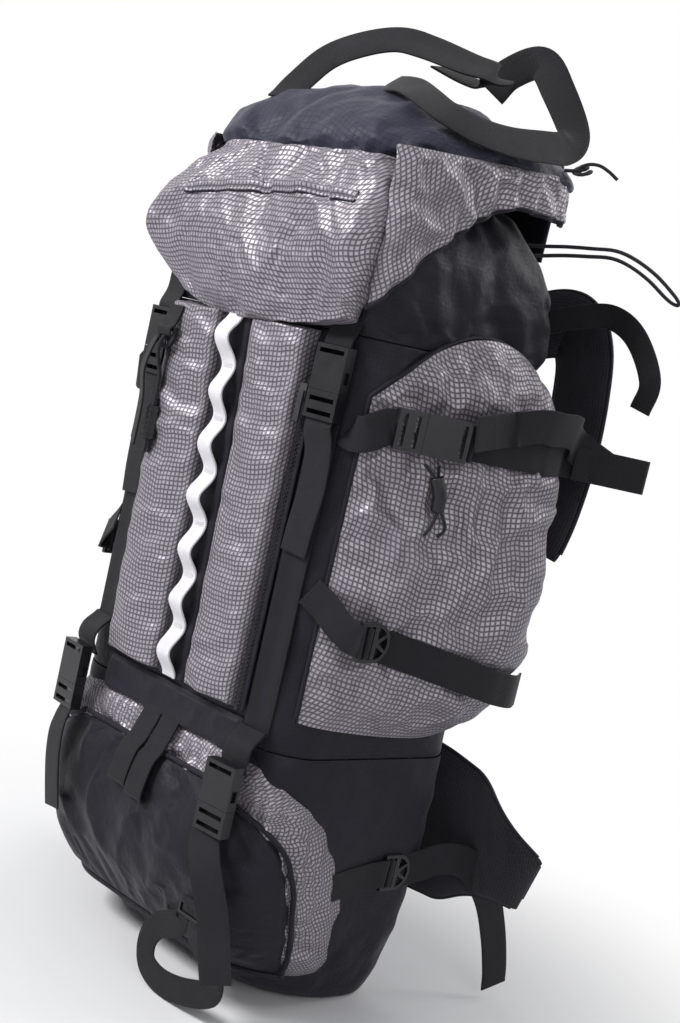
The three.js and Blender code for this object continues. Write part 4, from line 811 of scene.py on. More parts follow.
def band_piece(name, route, faces, width, body, *nodes, cloth=webbing, thick=1.8, cup=0.0):
    """Webbing along a route in metres. faces look out of its flat side; width is in millimetres."""
    steps = len(route) - 1

    def place(u, v):
        k = round(u * steps)
        across, out = flat_frame(route, faces, k)
        wide = width(u) if callable(width) else width
        shift = 2 * v - 1
        return route[k] + across * (shift * wide / 2 * MM) - out * (cup * shift ** 2 * MM)

    piece = grid_piece(name, steps, 6, place, thick=thick, offset=0)
    round_edges(piece, 0.5, 50)
    return finish(piece, cloth, body, *nodes)


def block_piece(name, places, round_off):
    """Many small blocks in one piece, each a unit cube put in its place."""
    form = bmesh.new()
    for place in places:
        bmesh.ops.create_cube(form, size=1, matrix=place)
    bmesh.ops.bevel(form, geom=form.edges[:], offset=round_off * MM, affect="EDGES", segments=1, profile=0.5,
                    material=-1)
    return add_object(name, form)


chain_loops, loop_stand = 7, 11
chain_route = []
for k in range(141):
    v = k / 140
    wave = math.sin(math.pi * chain_loops * v) ** 2 * (1.05 + 0.25 * noise.noise(Vector((v * 11, 3, 1))))
    drift = 3.2 * noise.noise(Vector((v * 7, 8, 2)))
    stand = 9 + swell_at(v) + 1.3 + loop_stand * wave
    chain_route.append(wall(drift, stand, strip_foot + strip_tall * v) * MM)
band_piece("daisy_chain_tape", chain_route, Vector((0, -1, 0)), 18, "pack", "daisy_chain", cloth=white_tape,
           thick=2.0)
tack_places = []
for k in range(chain_loops + 1):
    v = min(0.992, max(0.008, k / chain_loops))
    middle = wall(0, 9 + swell_at(v) + 2.5, strip_foot + strip_tall * v) * MM
    for row in (-1.6, 0, 1.6):
        tack_places.append(Matrix.Translation(middle + Vector((0, 0, row * MM)))
                           @ Matrix.Diagonal((12 * MM, 0.8 * MM, 0.9 * MM, 1)))
finish(block_piece("daisy_chain_tacks", tack_places, 0.25), thread_finish(), "pack")


# Side pockets of silver ripstop stand out at their backs and are pinched by two straps. Each is a
# stuffed bag on the wall, with a black binding round its arch.
pocket_start, pocket_span, pocket_swell = 150, 202, 66
upper_strap_height = 534
pocket_round = [(0, 0.02), (0.1, 0.1), (0.2, 0.24), (0.35, 0.52), (0.5, 0.76), (0.7, 0.95), (0.84, 1),
                (0.93, 0.82), (1, 0.05)]
pocket_rise = [(0, 0.05), (0.07, 0.62), (0.18, 0.94), (0.35, 1), (0.6, 0.9), (0.8, 0.74), (0.93, 0.48),
               (1, 0.06)]


def pocket_edge(u, front, back):
    middle = 0.59
    if u < middle:
        return front * ((middle - u) / middle) ** 2
    return back * ((u - middle) / (1 - middle)) ** 2


def pocket_foot(u):
    return 266 + pocket_edge(u, 8, 24)


def pocket_height(u, v):
    foot, top = pocket_foot(u), 622 - pocket_edge(u, 68, 40)
    return foot + v * (top - foot)


def lower_strap_height(run):
    return 354 - 30 * (run - 192) / 146


def pinch(run, height):
    """How far the two straps press the pocket in."""
    upper = math.exp(-((height - upper_strap_height) / 15) ** 2) * clamped((run - 190) / 20)
    lower = math.exp(-((height - lower_strap_height(run)) / 14) ** 2) * clamped((run - 175) / 20)
    return upper + lower


def side_pocket_place(side):
    def place(u, v):
        run = pocket_start + pocket_span * u
        height = pocket_height(u, v)
        grow = 1.8 + pocket_swell * eased(pocket_round, u) * eased(pocket_rise, v)
        slack = min(1.0, u / 0.08, (1 - u) / 0.06, v / 0.06, (1 - v) / 0.06)
        down = max(0.0, 1 - abs(height - 470) / 110)
        folds = 8 * down * noise.noise(Vector((run / 13, height / 120, side))) \
            + rumple((run, 0, height), 44, 8.0, 17.0 * side)
        grow += max(0.0, slack) * (folds - 4.0 * pinch(run, height))
        return wall(side * run, max(0.5, grow), height) * MM
    return place


def side_pocket_held(u, v):
    if min(u, 1 - u) < 0.025 or v < 0.025 or v > 0.975:
        return 1.0
    return 1.0 if pinch(pocket_start + pocket_span * u, pocket_height(u, v)) > 0.55 else 0.0


pocket_arch = [(0.0, k / 30) for k in range(30)] + [(k / 60, 1.0) for k in range(60)] \
    + [(1.0, 1 - k / 30) for k in range(31)]
for name, side in both_sides:
    pocket = sewn(f"side_pocket_{name}_cloth", 84, 96, side_pocket_place(side), silver, "pack",
                  f"side_pocket_{name}", puff=(0.05, 1.6 * side, 7.0), thick=1.2, offset=-side,
                  held=side_pocket_held)
    arch = [wall(side * (pocket_start + pocket_span * u), 3.0, pocket_height(u, v)) * MM
            for u, v in pocket_arch]
    finish(tube_piece(f"side_pocket_{name}_binding", arch, 2.2), black, "pack")


# The lower pocket: a gathered bellows of silver ripstop runs round it, a plain black face with a piped
# edge closes it, and a black skirt covers the seam between it and the two panels.
bellows_foot, bellows_tall, bellows_reach = 34, 198, 240
face_foot, face_tall, face_reach = 40, 163, 174
bellows_rows = [(0, 0.75), (0.06, 0.88), (0.26, 0.99), (0.5, 1), (0.71, 0.9), (0.81, 0.8), (0.88, 0.67),
                (1, 0.54)]
face_rows = [(0, 0.85), (0.08, 0.91), (0.25, 0.97), (0.54, 1), (0.74, 0.95), (0.89, 0.82), (1, 0.56)]


def rim(u, v, steep=6):
    return min(1.0, steep * u, steep * (1 - u), steep * v, steep * (1 - v))


def bellows_place(u, v):
    height = bellows_foot + bellows_tall * v
    run = (2 * u - 1) * bellows_reach * eased(bellows_rows, v)
    lift = rim(u, v)
    gathers = noise.noise(Vector((run / 8, height / 30, 2))) * 7
    folds = noise.noise(Vector((run / 26, height / 9, 5))) * 6.5
    grow = 4 + 7 * lift + lift * (gathers + folds + 1)
    face_half = face_reach * eased(face_rows, (height - face_foot) / face_tall)
    if abs(run) < face_half - 7 and 46 < height < 197:
        grow = min(grow, 8.0)
    edge = rim(u, v, 22)
    grow = 0.8 + (grow - 0.8) * edge * edge * (3 - 2 * edge)
    return wall(run, max(0.8, grow), height) * MM


def face_place(u, v):
    height = face_foot + face_tall * v
    run = (2 * u - 1) * face_reach * eased(face_rows, v)
    dome = math.sqrt(max(0.0, math.sin(math.pi * u) * math.sin(math.pi * v)))
    under = math.exp(-((abs(run) - 118) / 24) ** 4) if height > 120 else 0.0
    folds = rim(u, v) * rumple(wall(run, 0, height), 56, 6.0, 21.0)
    grow = 12.3 + 11 * dome + folds * (1 - under) - 3 * under
    if rim(u, v, 40) < 0.6:
        grow = 9.0
    return wall(run, grow, height) * MM


def skirt_place(u, v):
    height = 229 + 33 * v
    run = -101 + 202 * u + 28 * max(0.0, 2 * u - 1) * (1 - v) ** 1.5
    grow = 8 - 3 * v + rumple((run, 0, height), 26, 2.4, 5.0)
    if v > 0.92 or v < 0.06 or u < 0.03 or u > 0.97:
        grow = 3.0
    return wall(run, grow, height) * MM


sewn("lower_pocket_bellows", 210, 72, bellows_place, silver, "pack", "lower_pocket_gusset",
     thick=1.0, offset=-1)
sewn("lower_pocket_face_cloth", 108, 60, face_place, black, "pack", "lower_pocket_face", puff=(0.03, 1.0, 4.0),
     thick=1.2, offset=-1, held=lambda u, v: 1.0 if rim(u, v, 20) < 1 else 0.0)
face_edge = [(0, 1 - k / 60) for k in range(61)] + [(k / 60, 0) for k in range(1, 61)] \
    + [(1, k / 60) for k in range(1, 61)] + [(1 - k / 60, 1) for k in range(1, 60)]
piping_route = [wall((2 * u - 1) * face_reach * eased(face_rows, v), 14.0, face_foot + face_tall * v) * MM
                for u, v in face_edge]
finish(tube_piece("lower_pocket_piping", piping_route, 2.6), black, "pack")
sewn("lower_pocket_skirt", 90, 16, skirt_place, black, "pack", thick=1.2)


# The side straps run flat over the pockets. The upper one is doubled: behind the pocket it turns back in
# a slack loop and lies over itself as far as the buckle. Ahead of it, webbing sags to the bag's corner.
strap_width, buckle_turn, buckle_run, corner_run = 30, 0.98, 183, 140
over_pocket_start, over_pocket_step = 232, 10.3
back_loop = [(0.4, 0.42), (0.85, 0.9), (0.97, 1), (1.02, 0.97), (0.96, 0.86), (0.52, 0.4), (0.2, 0.06)]
slack_rows = [(0, 0, 0), (0.14, 0.24, 0.04), (0.36, 0.7, 0.4), (0.58, 1, 0.8), (0.78, 0.85, 1),
              (0.93, 0.35, 1), (1, 0, 0.9)]


def over_pocket(run, height):
    """How far a strap stands off the wall where it lies over the side pocket."""
    u = (run - pocket_start) / pocket_span
    foot = pocket_height(u, 0)
    span = pocket_height(u, 1) - foot
    marks = [(height + share * strap_width - foot) / span for share in (-0.5, -0.25, 0, 0.25, 0.5)]
    return 5.0 + pocket_swell * max(between(pocket_round, u) * between(pocket_rise, v) for v in marks)


def level_faces(route):
    steps = [ahead_at(route, k) for k in range(len(route))]
    return [Vector((step.y, -step.x, 0)).normalized() for step in steps]


for name, side in both_sides:
    seat = wall(side * buckle_run, 30, upper_strap_height)
    along = Vector((side * math.cos(buckle_turn), math.sin(buckle_turn), 0))
    out = Vector((side * math.sin(buckle_turn), -math.cos(buckle_turn), 0))
    over = [seat + along * 38.8, seat + along * 42.6]
    for k in range(11):
        run = over_pocket_start + over_pocket_step * k
        over.append(wall(side * run, over_pocket(run, upper_strap_height), upper_strap_height))
    loop = [over[-1] + Vector((side * share * 45, back * 62, 0)) for share, back in back_loop]
    route = smooth_route(over + loop, 150)
    band_piece(f"side_upper_strap_{name}_webbing", route, level_faces(route), strap_width, "pack",
               f"side_upper_strap_{name}")

    returned = [loop[5] + Vector((side * 3, 0, 1)), over[-1] + Vector((side * 9, 4, 14))]
    for k in (9, 7, 5, 3, 2):
        away = outward(side * (over_pocket_start + over_pocket_step * k))
        returned.append(over[k + 2] + away * (9 + 5 * math.sin(math.pi * k / 9))
                        + Vector((0, 0, 26 * min(1.0, 0.45 + k / 9))))
    returned.append(over[1] + Vector((side * 8, -8, 9)))
    route = smooth_route(returned, 110)
    faces = [(face + Vector((0, 0, 0.22 * math.sin(math.pi * k / 110)))).normalized()
             for k, face in enumerate(level_faces(route))]
    band_piece(f"side_upper_strap_{name}_return", route, faces, strap_width, "pack")

    low = [Vector((side * 181.6, -90, 356)), Vector((side * 181.2, -80, 355.4))]
    for k in range(11):
        run = 192 + 14.6 * k
        low.append(wall(side * run, over_pocket(run, 354 - 3 * k), 354 - 3 * k))
    route = smooth_route(low, 100)
    band_piece(f"side_lower_strap_{name}_webbing", route, level_faces(route), strap_width, "pack",
               f"side_lower_strap_{name}")

    start = seat - along * 24.8
    end = wall(side * corner_run, 0.8, upper_strap_height)
    away = (out + outward(side * corner_run)).normalized()
    route = smooth_route([start.lerp(end, way) + away * bulge * 12 + Vector((0, 0, -12 * sag))
                          for way, bulge, sag in slack_rows], 50)
    slack_strap = band_piece(f"side_front_strap_{name}_webbing", route, away, strap_width, None,
                             f"side_front_strap_{name}")
    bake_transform(slack_strap)


# Webbing runs down the front on each side, flat on the bag, then out over the lower pocket into its
# buckle. A stub goes up under the lid from the upper socket, and the tail of its plug hangs below.
front_run = 118
stub_rows = [(0, 7.9, 588), (0, 7, 594), (0, 2.4, 606), (0, 1.6, 622), (0, 1.6, 640)]
plug_tail_rows = [(0, 9.4, 527), (0, 10, 518), (3, 7, 500), (4, 5.6, 470), (2, 6.2, 440), (0, 5.6, 412)]
for name, side, low_buckle, stand in (("left", -1, 226, 13.8), ("right", 1, 192, 17.1)):
    rise = low_buckle + 40
    rows = [(1.2, 585), (1.2, 520), (1.2, 450), (1.4, 380), (1.4, rise + 36), (6, rise + 26), (17, rise + 15),
            (20, rise + 4), (stand + 2, rise - 6), (stand, low_buckle + 30)]
    out = outward(side * front_run)
    route = smooth_route([wall(side * front_run, grow, height) for grow, height in rows], 120)
    band_piece(f"front_webbing_{name}_strap", route, out, strap_width, "pack", f"front_webbing_{name}")
    plug = f"lid_plug_{name}"
    for piece, body, rows, width, steps in ((f"lid_stub_{name}", "pack", stub_rows, strap_width, 30),
                                            (f"{plug}_tail", plug, plug_tail_rows, 29, 60)):
        spots = [wall(side * (front_run + off), grow, height) for off, grow, height in rows]
        band_piece(piece, smooth_route(spots, steps), out, width, body)


# Tails of webbing hang plumb from the lower buckles and the hip belt, and shorter bands pass through the
# ladder locks. The bag stands slanting, so plumb is not quite the bag's own down.
lock_webbing = 26


def hung(name, points, face, width, body="pack", steps=70):
    """Webbing through points in millimetres that turns no more than its route makes it."""
    route = smooth_route(points, steps)
    faces = []
    turned = Vector(face).normalized()
    for k in range(len(route)):
        step = ahead_at(route, k).normalized()
        turned = (turned - step * turned.dot(step)).normalized()
        faces.append(turned.copy())
    return band_piece(name, route, faces, width, body)


def mirrored(side, points):
    return [(side * x, y, z) for x, y, z in points]


hung("lower_plug_right_tail", [(118, -152.6, 168), (120, -155, 160), (129, -158, 146), (137, -157, 130),
                               (146, -154, 110), (153, -152, 90), (162, -152, 68), (168, -151, 52)],
     (0.25, -1, 0.1), strap_width, "lower_plug_right")
hung("lower_plug_left_tail", [(-118, -149, 202), (-117, -153, 194), (-113, -159, 180), (-108, -161, 158),
                              (-104, -159, 134), (-99, -156, 108)],
     (-0.25, -1, 0.1), strap_width, "lower_plug_left")
for name, side in both_sides:
    # Through each lock, webbing comes up at the rear slot, over the middle bar and down at the front slot.
    for lock, x, y, z, under in ((f"ladder_lock_{name}", 185.3, -95.2, 356, -3.6),
                                 (f"hip_ladder_lock_{name}", 158.4, 30.1, 135, -1.6)):
        hump = [(x + off, y + back, z) for off, back in (
            (under, 22), (under + 0.6, 15), (-0.4, 11.4), (3.4, 10.4), (3.5, 6.4), (-0.4, 6.0), (under, 6.4))]
        hung(f"{lock}_hump", mirrored(side, hump), (side, 0, 0), 25, lock, 48)

    # Another band is sewn round the flat bar of each lock. It bends where the lock tilts.
    anchor = hung(f"side_lower_{name}_anchor", mirrored(side, [
        (182.2, -92.6, 356), (184.8, -92.4, 356), (188, -93.2, 356), (188.8, -96, 356.2), (185, -98.6, 357),
        (179, -103, 360), (168, -108, 367), (153, -113, 378), (140, -119.5, 386)]),
        (-side * 0.4, 0, 0), lock_webbing, None, 80)
    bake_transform(anchor)
    band = hung(f"hip_side_band_{name}", mirrored(side, [
        (157, -64, 118), (157.6, -40, 122), (158, -10, 128), (158.8, 12, 132), (161.4, 25, 134.6),
        (162.4, 31, 135), (160, 33.6, 135), (157, 33.4, 135)]), (side, 0, 0), lock_webbing, None, 80)
    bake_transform(band)
    hung(f"hip_tail_{name}", mirrored(side, [
        (156.4, 46, 135), (156.8, 62, 135.4), (161, 76, 140), (170, 98, 149), (177, 128, 143), (181, 158, 114),
        (181, 182, 74), (180, 199, 36), (179, 206, 14)]), (side, 0, 0.1), strap_width, steps=110)


# Small fittings: a knot of elastic at the lid's right back corner, a toggle of moulded acetal on a
# puckered cord on each side pocket, and the tab and flap of webbing at the D-ring.
def plastic_finish(name, low, high, rough, metal=0.0):
    material, tree, shader = node_tree(name)
    wear = noise_node(tree, object_place(tree), 60.0, 5.0, 0.65)
    grain = noise_node(tree, object_place(tree), 1400.0, 2.0)
    feed(tree, shader, {
        "Base Color": mix_colour(tree, wear, low, high), "Normal": bump_node(tree, grain, 0.2, 0.0002),
        "Roughness": plus(tree, rough, times(tree, wear, 0.25)), "Metallic": metal, "Specular IOR Level": 0.35,
    })
    return material


plastic = plastic_finish("plastic_black", (0.004, 0.004, 0.0055), (0.013, 0.0125, 0.016), 0.2)
knot = smooth_route([
    (150, 58, 779), (156, 66, 781), (161, 72, 784), (158, 78, 787), (152, 74, 785), (153, 67, 780),
    (160, 66, 778), (165, 73, 781), (161, 80, 784), (154, 77, 780), (157, 69, 784), (165, 70, 788),
    (172, 76, 789), (178, 83, 786), (183, 91, 781)], 110)
cord_piece("lid_elastic_knot", knot, 1.6, "lid", "bare", "loose")
toggle_run, toggle_height = 206, 488
toggle_rows = [(4, -5, 13), (7, 0, 0), (5, 4, -14)]
for name, side in both_sides:
    middle = wall(side * toggle_run, 34, toggle_height)
    away = outward(side * toggle_run)
    toggle = smooth_route([middle + away * off + Vector((0, back, up)) for off, back, up in toggle_rows], 16)
    finish(tube_piece(f"side_pocket_{name}_toggle", toggle, 6, 14), plastic, "pack")
    for number, swing in ((1, -9), (2, 8)):
        cord_rows = [(2, -12 - swing, 22), (7, -4, 8), (8, 2, -10), (7, 8 + swing, -27), (6, 3 + swing, -36)]
        route = smooth_route([middle + away * off + Vector((0, back, up)) for off, back, up in cord_rows], 40)
        cord_piece(f"side_pocket_{name}_cord_{number}", route, 1.5, "pack", "bare", "hanging")
tab = hung("d_ring_tab", [(d_ring_x, y, z) for y, z in (
    (-147.6, 592), (-150, 582), (-153.4, 573.6), (-157.4, 570), (-156, 564.6), (-151.4, 563.6))],
    (0, -1, 0), 20, None, 40)
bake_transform(tab)
hung("d_ring_flap", [(-96, -148, 566), (-97, -154, 552), (-99, -157, 530), (-97, -154, 505), (-100, -151, 480),
                     (-103, -149, 462)], (-0.5, -1, 0), 24, steps=60)


# The tool loop is webbing folded at its foot and hung over the top of the lower pocket's face. A slack
# loop of narrower webbing hangs in the ring beside it, which a tab of webbing holds.
tool_top, tool_drop, tool_depth = 254, 90, 10.5
ring_x, ring_y = 101, -134.6
tool_rows = [(0, 0), (0.1, 0.2), (0.6, 0.5), (0.9, 0.62), (1, 0.8), (1, 0.95), (0.75, 1), (0.25, 1), (0, 0.95),
             (0, 0.8), (0, 0.62)]
ring_rows = [(-0.2, 0), (-0.2, 0.08), (-0.36, 0.16), (-0.85, 0.34), (-1.06, 0.62), (-0.93, 0.9), (-0.4, 1),
             (0.37, 0.9), (1.02, 0.68), (0.88, 0.4), (0.38, 0.17), (0.2, 0.08), (0.2, 0)]
ring_widths = [(0, 0.6), (0.14, 1), (0.86, 1), (1, 0.6)]


def tool_point(off, down):
    height = tool_top - tool_drop * down
    if height > face_foot + face_tall:
        under = (tool_top - height) / 51 * 12.3
    else:
        under = 12.3 + 11.7 * math.sqrt(max(0.0, math.sin(math.pi * (height - face_foot) / face_tall)))
    return Vector((0, -123.2 - under - off * tool_depth, height))


for name, across, drop, replaced in (("", -13.2, 0.0, ("tool_loop",)), ("_second", 13.4, 5.0, ())):
    route = smooth_route([tool_point(off, down) + Vector((across, 0, -drop * down))
                          for off, down in tool_rows], 80)
    steps = [ahead_at(route, k) for k in range(len(route))]
    faces = [Vector((0, step.z, -step.y)).normalized() for step in steps]
    band_piece(f"tool_loop{name}_webbing", route, faces, 25, "pack", *replaced)
route = smooth_route([(ring_x + 46 * across, ring_y, 79.2 - 66 * down) for across, down in ring_rows], 120)
band_piece("ring_loop_webbing", route, Vector((0, 1, 0)), lambda u: 24 * between(ring_widths, u), "loop_ring",
           "ring_loop")
hung("loop_ring_tab", [(ring_x, y, z) for y, z in (
    (-129.4, 118), (-131.4, 108), (-134.4, 99.4), (-137.4, 97), (-137, 92.6), (-134.4, 90.8))],
    (0, -1, 0), 24, steps=40)


# The loose strap over the lid is stiff webbing: an arch that stands up, and a flat band that ends in an
# open loop at the lid's right edge.
arch_rows = [
    (-0.39, -0.87, 0.072), (-0.41, -0.71, 0.19), (-0.35, -0.53, 0.44), (-0.18, -0.4, 0.6), (0.01, -0.27, 0.7),
    (0.2, -0.18, 0.64), (0.48, -0.09, 0.57), (0.64, 0, 0.58), (0.58, 0.08, 0.42), (0.41, 0.09, 0.36),
    (0.16, 0.07, 0.46),
]
band_rows = [
    (0.12, -0.41, 0.124), (0.27, -0.5, 0.15), (0.44, -0.58, 0.16), (0.64, -0.69, 0.16), (0.84, -0.69, 0.17),
    (0.96, -0.5, 0.22), (1.02, -0.19, 0.26), (1.04, 0.13, 0.28), (1.04, 0.37, 0.32), (1, 0.5, 0.5),
    (0.79, 0.53, 0.65), (0.61, 0.53, 0.88), (0.41, 0.49, 0.7), (0.33, 0.44, 0.42),
]
band_turns = [
    (0, 0.1, -0.75, 0.65), (0.2, 0.2, -0.55, 0.85), (0.36, 0.7, -0.4, 0.6), (0.55, 0.88, -0.05, 0.45),
    (0.68, 0.85, -0.4, 0.1), (0.8, 0.6, -0.75, 0), (1, 0.55, -0.8, 0.1),
]
crown_rows = [(0, 0.16), (0.07, 0.34), (0.2, 0.54), (0.42, 0.76), (0.82, 1), (2, 1)]


def over_lid(rows, steps):
    """A route over the lid from shares of its half width, half depth and of the strap's own height."""
    points = []
    for across, along, lift in rows:
        x, y = across * lid_half_width, along * 113
        inset = min((lid_half_width - abs(x)) / 1.3, lid_front + y, lid_back - y) / 96
        crown = pitched(lid_foot + lid_rise * between(crown_rows, max(0.0, inset)), y)
        points.append((x, y, crown + lift * 74))
    return smooth_route(points, steps)


arch_faces = [Vector((0.3, -1 + 0.9 * k / 120, 0.35 + 0.3 * k / 120)) for k in range(121)]
band_faces = [Vector([between(band_turns, k / 150, column) for column in (1, 2, 3)]) for k in range(151)]
for name, rows, faces in (("arch", arch_rows, arch_faces), ("band", band_rows, band_faces)):
    route = over_lid(rows, len(faces) - 1)
    band_piece(f"lid_strap_{name}_webbing", route, faces, strap_width, "lid", f"lid_strap_{name}", cup=0.6)


# The back is foam in spacer mesh: a pad with grooves for air, two curved shoulder straps and two hip
# wings, the straps and wings bound with black tape and faced with webbing.
def spacer_finish():
    material, tree, shader = node_tree("spacer_mesh")
    uv = uv_place(tree)[0]
    cells = add_node(tree, "TexVoronoi", {"Vector": uv, "Scale": 320, "Randomness": 0.12})
    hole = math_node(tree, "MINIMUM", times(tree, cells.outputs["Distance"], 2.2), 1.0)
    shade = times(tree, hole, plus(tree, 0.5, noise_node(tree, uv, 40.0, 4.0)))
    soft = bump_node(tree, noise_node(tree, object_place(tree), 40.0, 3.0), 0.3, 0.004)
    feed(tree, shader, {
        "Base Color": mix_colour(tree, shade, (0.004, 0.004, 0.006), (0.03, 0.028, 0.036)),
        "Normal": bump_node(tree, hole, 0.6, 0.0008, soft),
        "Roughness": 0.75, "Sheen Weight": 0.08, "Specular IOR Level": 0.16,
    })
    return material


spacer = spacer_finish()
pad_foot, pad_top, pad_half_width, pad_corner, pad_face = 62, 599, 118, 34, 103.2
pad_rows = 5


def back_pad_place(u, v):
    height = pad_foot + (pad_top - pad_foot) * v
    end = min(height - pad_foot, pad_top - height)
    half = pad_half_width - (pad_corner - math.sqrt(
        max(0.0, pad_corner ** 2 - (pad_corner - min(pad_corner, end)) ** 2)))
    x = (2 * u - 1) * half
    soft = 1.0
    for to_edge in (half - abs(x), end):
        soft *= math.sqrt(max(0.0, 1 - (1 - min(1.0, to_edge / 9)) ** 2))
    groove = clamped((49.7 - abs((v * pad_rows) % 1 - 0.5) * 107) / 10)
    crown = math.sin(math.pi * clamped((abs(x) - 7) / 12) / 2) * math.sin(math.pi * groove / 2)
    thick = 8 + 9 * crown + 0.6 * rumple((x, 0, height), 30, 1.0, 2.0)
    return Vector((x, pad_face + soft * thick, height)) * MM


sewn("back_pad_foam", 80, 150, back_pad_place, spacer, "pack", "back_pad", thick=1.0, offset=0)


def cushion(name, route, faces, width, thick, around):
    """A padded strap along a route: a flat rounded section that closes at both its ends."""
    steps = len(route) - 1

    def place(u, v):
        k = round(u * steps)
        across, out = flat_frame(route, faces, k)
        end = min(1.0, min(u, 1 - u) * steps / 5)
        close = math.sqrt(max(0.0, 1 - (1 - end) ** 2))
        angle = -2 * math.pi * v
        a, b = math.cos(angle), math.sin(angle)
        a = math.copysign(abs(a) ** 0.7, a) * (0.93 + 0.07 * close)
        b = math.copysign(abs(b) ** 0.75, b) * close
        spot = route[k] + across * (a * width(u) / 2 * MM) + out * (b * thick / 2 * MM)
        return spot + out * (close * b * 0.1 * rumple(spot * 1000, 24, 6.0, 3.0) * MM)

    foam = sewn(f"{name}_foam", steps, around, place, spacer, name, name, loop=True)


def bound_edge(name, route, off, radius, body):
    """Binding tape along one edge of a cushion, off(k) millimetres beside its middle."""
    border = []
    for k in range(3, len(route) - 3):
        across = (route[k + 1] - route[k - 1]).normalized().cross(ahead_of_pad).normalized()
        border.append(route[k] + across * (off(k) * MM))
    finish(tube_piece(name, border, radius), black, body)


def hip_width(share):
    return 146 * eased(hip_rows, share)


ahead_of_pad = Vector((0, -1, 0))
shoulder_rows = [(0, 0, 0), (0.14, 0.4, 0.5), (0.36, 0.75, 0.86), (0.62, 1, 0.93), (0.83, 0.95, 0.56),
                 (0.95, 0.8, -0.04), (1, 0.7, -0.3), (0.99, 0.55, -0.56), (0.93, 0.4, -0.76)]
hip_rows = [(0, 1), (0.3, 1), (0.56, 0.92), (0.66, 0.68), (0.8, 0.5), (1, 0.38)]
lifter_rows = [(0, 0, 0), (0.25, 0.5, 0.7), (0.5, 0.85, 1), (0.76, 0.85, 0.2), (1, 0.62, -1.7),
               (0.96, 0.72, -3.2)]
for name, side in both_sides:
    strap = f"shoulder_strap_{name}"
    route = smooth_route([(side * (52 + 104 * reach), 127.4 + 34 * off, 598 + (60 if rise > 0 else 205) * rise)
                          for reach, off, rise in shoulder_rows], 90)
    cushion(strap, route, ahead_of_pad, lambda share: 62, 13, 28)
    for edge, sign in (("inner", -1), ("outer", 1)):
        bound_edge(f"{strap}_binding_{edge}", route, lambda k: sign * 30.6, 2.4, strap)
    lift = [point + Vector((0, 7.6, 0)) * MM for point in route[8:82]]
    band_piece(f"{strap}_webbing", lift, ahead_of_pad, 25, strap, thick=1.6)

    belt = f"hip_belt_{name}"
    route = [Vector((side * (58 + 172 * k / 80), 128.9 + 26 * (k / 80) ** 2, 168 - 26 * (k / 80) ** 2)) * MM
             for k in range(81)]
    cushion(belt, route, ahead_of_pad, hip_width, 16, 40)
    for edge, sign in (("upper", -1), ("lower", 1)):
        bound_edge(f"{belt}_binding_{edge}", route, lambda k: sign * (hip_width(k / 80) / 2 - 1), 2.6, belt)
    lift = [point + Vector((0, 9.2, 0)) * MM for point in route[10:79]]
    band_piece(f"{belt}_webbing", lift, ahead_of_pad, 38, belt)

    route = smooth_route([(side * (126 + 122 * reach), 104.4 + 24 * off, 648 + 18 * rise)
                          for reach, off, rise in lifter_rows], 70)
    band_piece(f"load_lifter_{name}_webbing", route, ahead_of_pad, 22, "pack", f"load_lifter_{name}")


# The two front zips: a woven tape beside each panel, with moulded teeth down its middle under the
# slider. The teeth are small blocks, set left and right by turns.
zip_run, zip_line_run, zip_foot, zip_tall, tooth_pitch, tooth_half = 88, 94.8, 268, 288, 1.9, 2.6


def teeth_places(route):
    marks = [0.0]
    for a, b in zip(route, route[1:]):
        marks.append(marks[-1] + (b - a).length)
    places = []
    k = 0
    out = Vector((0, -1, 0))
    for number in range(int(marks[-1] / (tooth_pitch * MM))):
        at = number * tooth_pitch * MM
        while k < len(marks) - 2 and marks[k + 1] < at:
            k += 1
        ahead = (route[k + 1] - route[k]).normalized()
        across = ahead.cross(out).normalized()
        off = (1 if number % 2 else -1) * tooth_half * 0.35
        spot = route[k] + ahead * (at - marks[k]) + across * (off * MM)
        places.append(Matrix.Translation(spot) @ Matrix((across, ahead, out)).transposed().to_4x4()
                      @ Matrix.Diagonal((tooth_half * 1.5 * MM, tooth_pitch * 0.62 * MM, 1.3 * MM, 1)))
    return places


for name, side in both_sides:
    def zip_place(u, v, side=side):
        grow = 5.4 + 1.8 * math.sin(math.pi * u) + 0.5 * noise.noise(Vector((u, v * 30, side)))
        return wall(side * (zip_run + 13.5 * u), grow, zip_foot + zip_tall * v) * MM

    finish(grid_piece(f"front_zip_{name}_tape", 10, 120, zip_place, thick=1.2, offset=-side), black, "pack",
           f"front_zip_{name}")
    line = [wall(side * zip_line_run, 7.4, zip_foot + zip_tall * k / 100) * MM for k in range(101)]
    finish(block_piece(f"front_zip_{name}_teeth", teeth_places(line), 0.2), plastic, "pack")


# Rigid pieces keep the part's own shape: moulded black acetal for buckles, locks, rings and barrel, cast
# alloy for the zip sliders, and a white sheet behind the back pad.
alloy = plastic_finish("alloy_grey", (0.045, 0.045, 0.048), (0.1, 0.1, 0.105), 0.26, 0.9)
sheet_plastic = plastic_finish("sheet_white", (0.72, 0.72, 0.72), (0.84, 0.84, 0.83), 0.35)


def dress(material, edge, *names):
    for name in names:
        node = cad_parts[name]
        for place in node.material_slots:
            place.material = material
        round_edges(node, edge, 35)


for name, _ in both_sides:
    for kind in ("lid", "lower", "side"):
        dress(plastic, 0.7, f"{kind}_socket_{name}", f"{kind}_plug_{name}")
    dress(plastic, 0.5, f"ladder_lock_{name}", f"hip_ladder_lock_{name}")
    dress(alloy, 0.3, f"front_zip_slider_{name}")
dress(plastic, 0.8, "d_ring", "loop_ring")
dress(plastic, 0.3, "cord_barrel")
dress(sheet_plastic, 0.4, "frame_sheet")


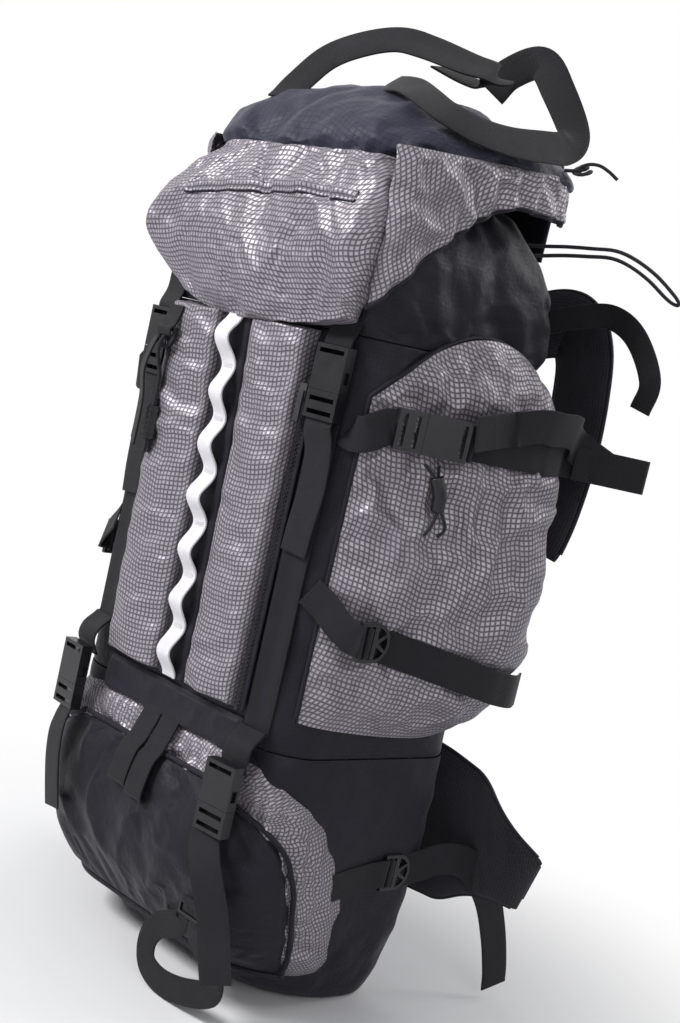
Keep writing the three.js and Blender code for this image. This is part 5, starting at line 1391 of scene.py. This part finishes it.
# A plain pale floor and three soft lamps, as in a small studio. Far from the bag the camera sees plain
# white, so that only the shadow round the bag is left.
def floor_finish():
    material, tree, shader = node_tree("floor_white")
    place = object_place(tree)
    feed(tree, shader, {"Base Color": mix_colour(tree, noise_node(tree, place, 3.0), (0.86, 0.86, 0.87),
                                                 (0.89, 0.89, 0.89)), "Roughness": 0.8})
    reach = tree.nodes.new("ShaderNodeVectorMath")
    reach.operation = "LENGTH"
    feed(tree, reach, {0: place})
    fade = tree.nodes.new("ShaderNodeMapRange")
    fade.interpolation_type = "SMOOTHSTEP"
    feed(tree, fade, {"Value": reach.outputs["Value"], "From Min": 0.15, "From Max": 0.7})
    seen = tree.nodes.new("ShaderNodeLightPath").outputs["Is Camera Ray"]
    white = tree.nodes.new("ShaderNodeEmission")
    blend = add_node(tree, "MixShader", {"Fac": times(tree, fade.outputs["Result"], seen),
                                         1: shader.outputs["BSDF"], 2: white.outputs["Emission"]})
    tree.links.new(blend.outputs["Shader"], tree.nodes["Material Output"].inputs["Surface"])
    return material


floor_form = bmesh.new()
bmesh.ops.create_grid(floor_form, x_segments=2, y_segments=2, size=30)
floor = add_object("floor", floor_form)
floor.data.materials.append(floor_finish())
for name, place, size, power in (("key", (-0.9, -2.2, 2.2), 0.9, 92), ("fill", (2.4, -1.2, 1.3), 1.4, 15),
                                 ("back", (0.8, 2.2, 2.2), 1.4, 30)):
    lamp = bpy.data.lights.new(name, "AREA")
    lamp.size = size
    lamp.energy = power
    holder = bpy.data.objects.new(name, lamp)
    holder.location = place
    holder.rotation_euler = (Vector((0, 0, 0.42)) - Vector(place)).to_track_quat("-Z", "Y").to_euler()
    scene.collection.objects.link(holder)

# The room's light is soft and a little blue, and seen directly or in a reflection it is plain white. The
# colours are shown as they are.
scene.world = bpy.data.worlds.new("room")
scene.world.use_nodes = True
room = scene.world.node_tree
room.nodes.clear()
soft_light = add_node(room, "Background", {"Color": (0.9, 0.92, 1), "Strength": 0.26})
clear_light = add_node(room, "Background", {"Color": (1, 1, 1)})
rays = room.nodes.new("ShaderNodeLightPath").outputs
reflected = math_node(room, "MAXIMUM", rays["Is Glossy Ray"], rays["Is Transmission Ray"])
joined = add_node(room, "MixShader", {"Fac": math_node(room, "MAXIMUM", rays["Is Camera Ray"], reflected),
                                      1: soft_light.outputs[0], 2: clear_light.outputs[0]})
add_node(room, "OutputWorld", {"Surface": joined.outputs[0]})
scene.view_settings.view_transform = "Standard"
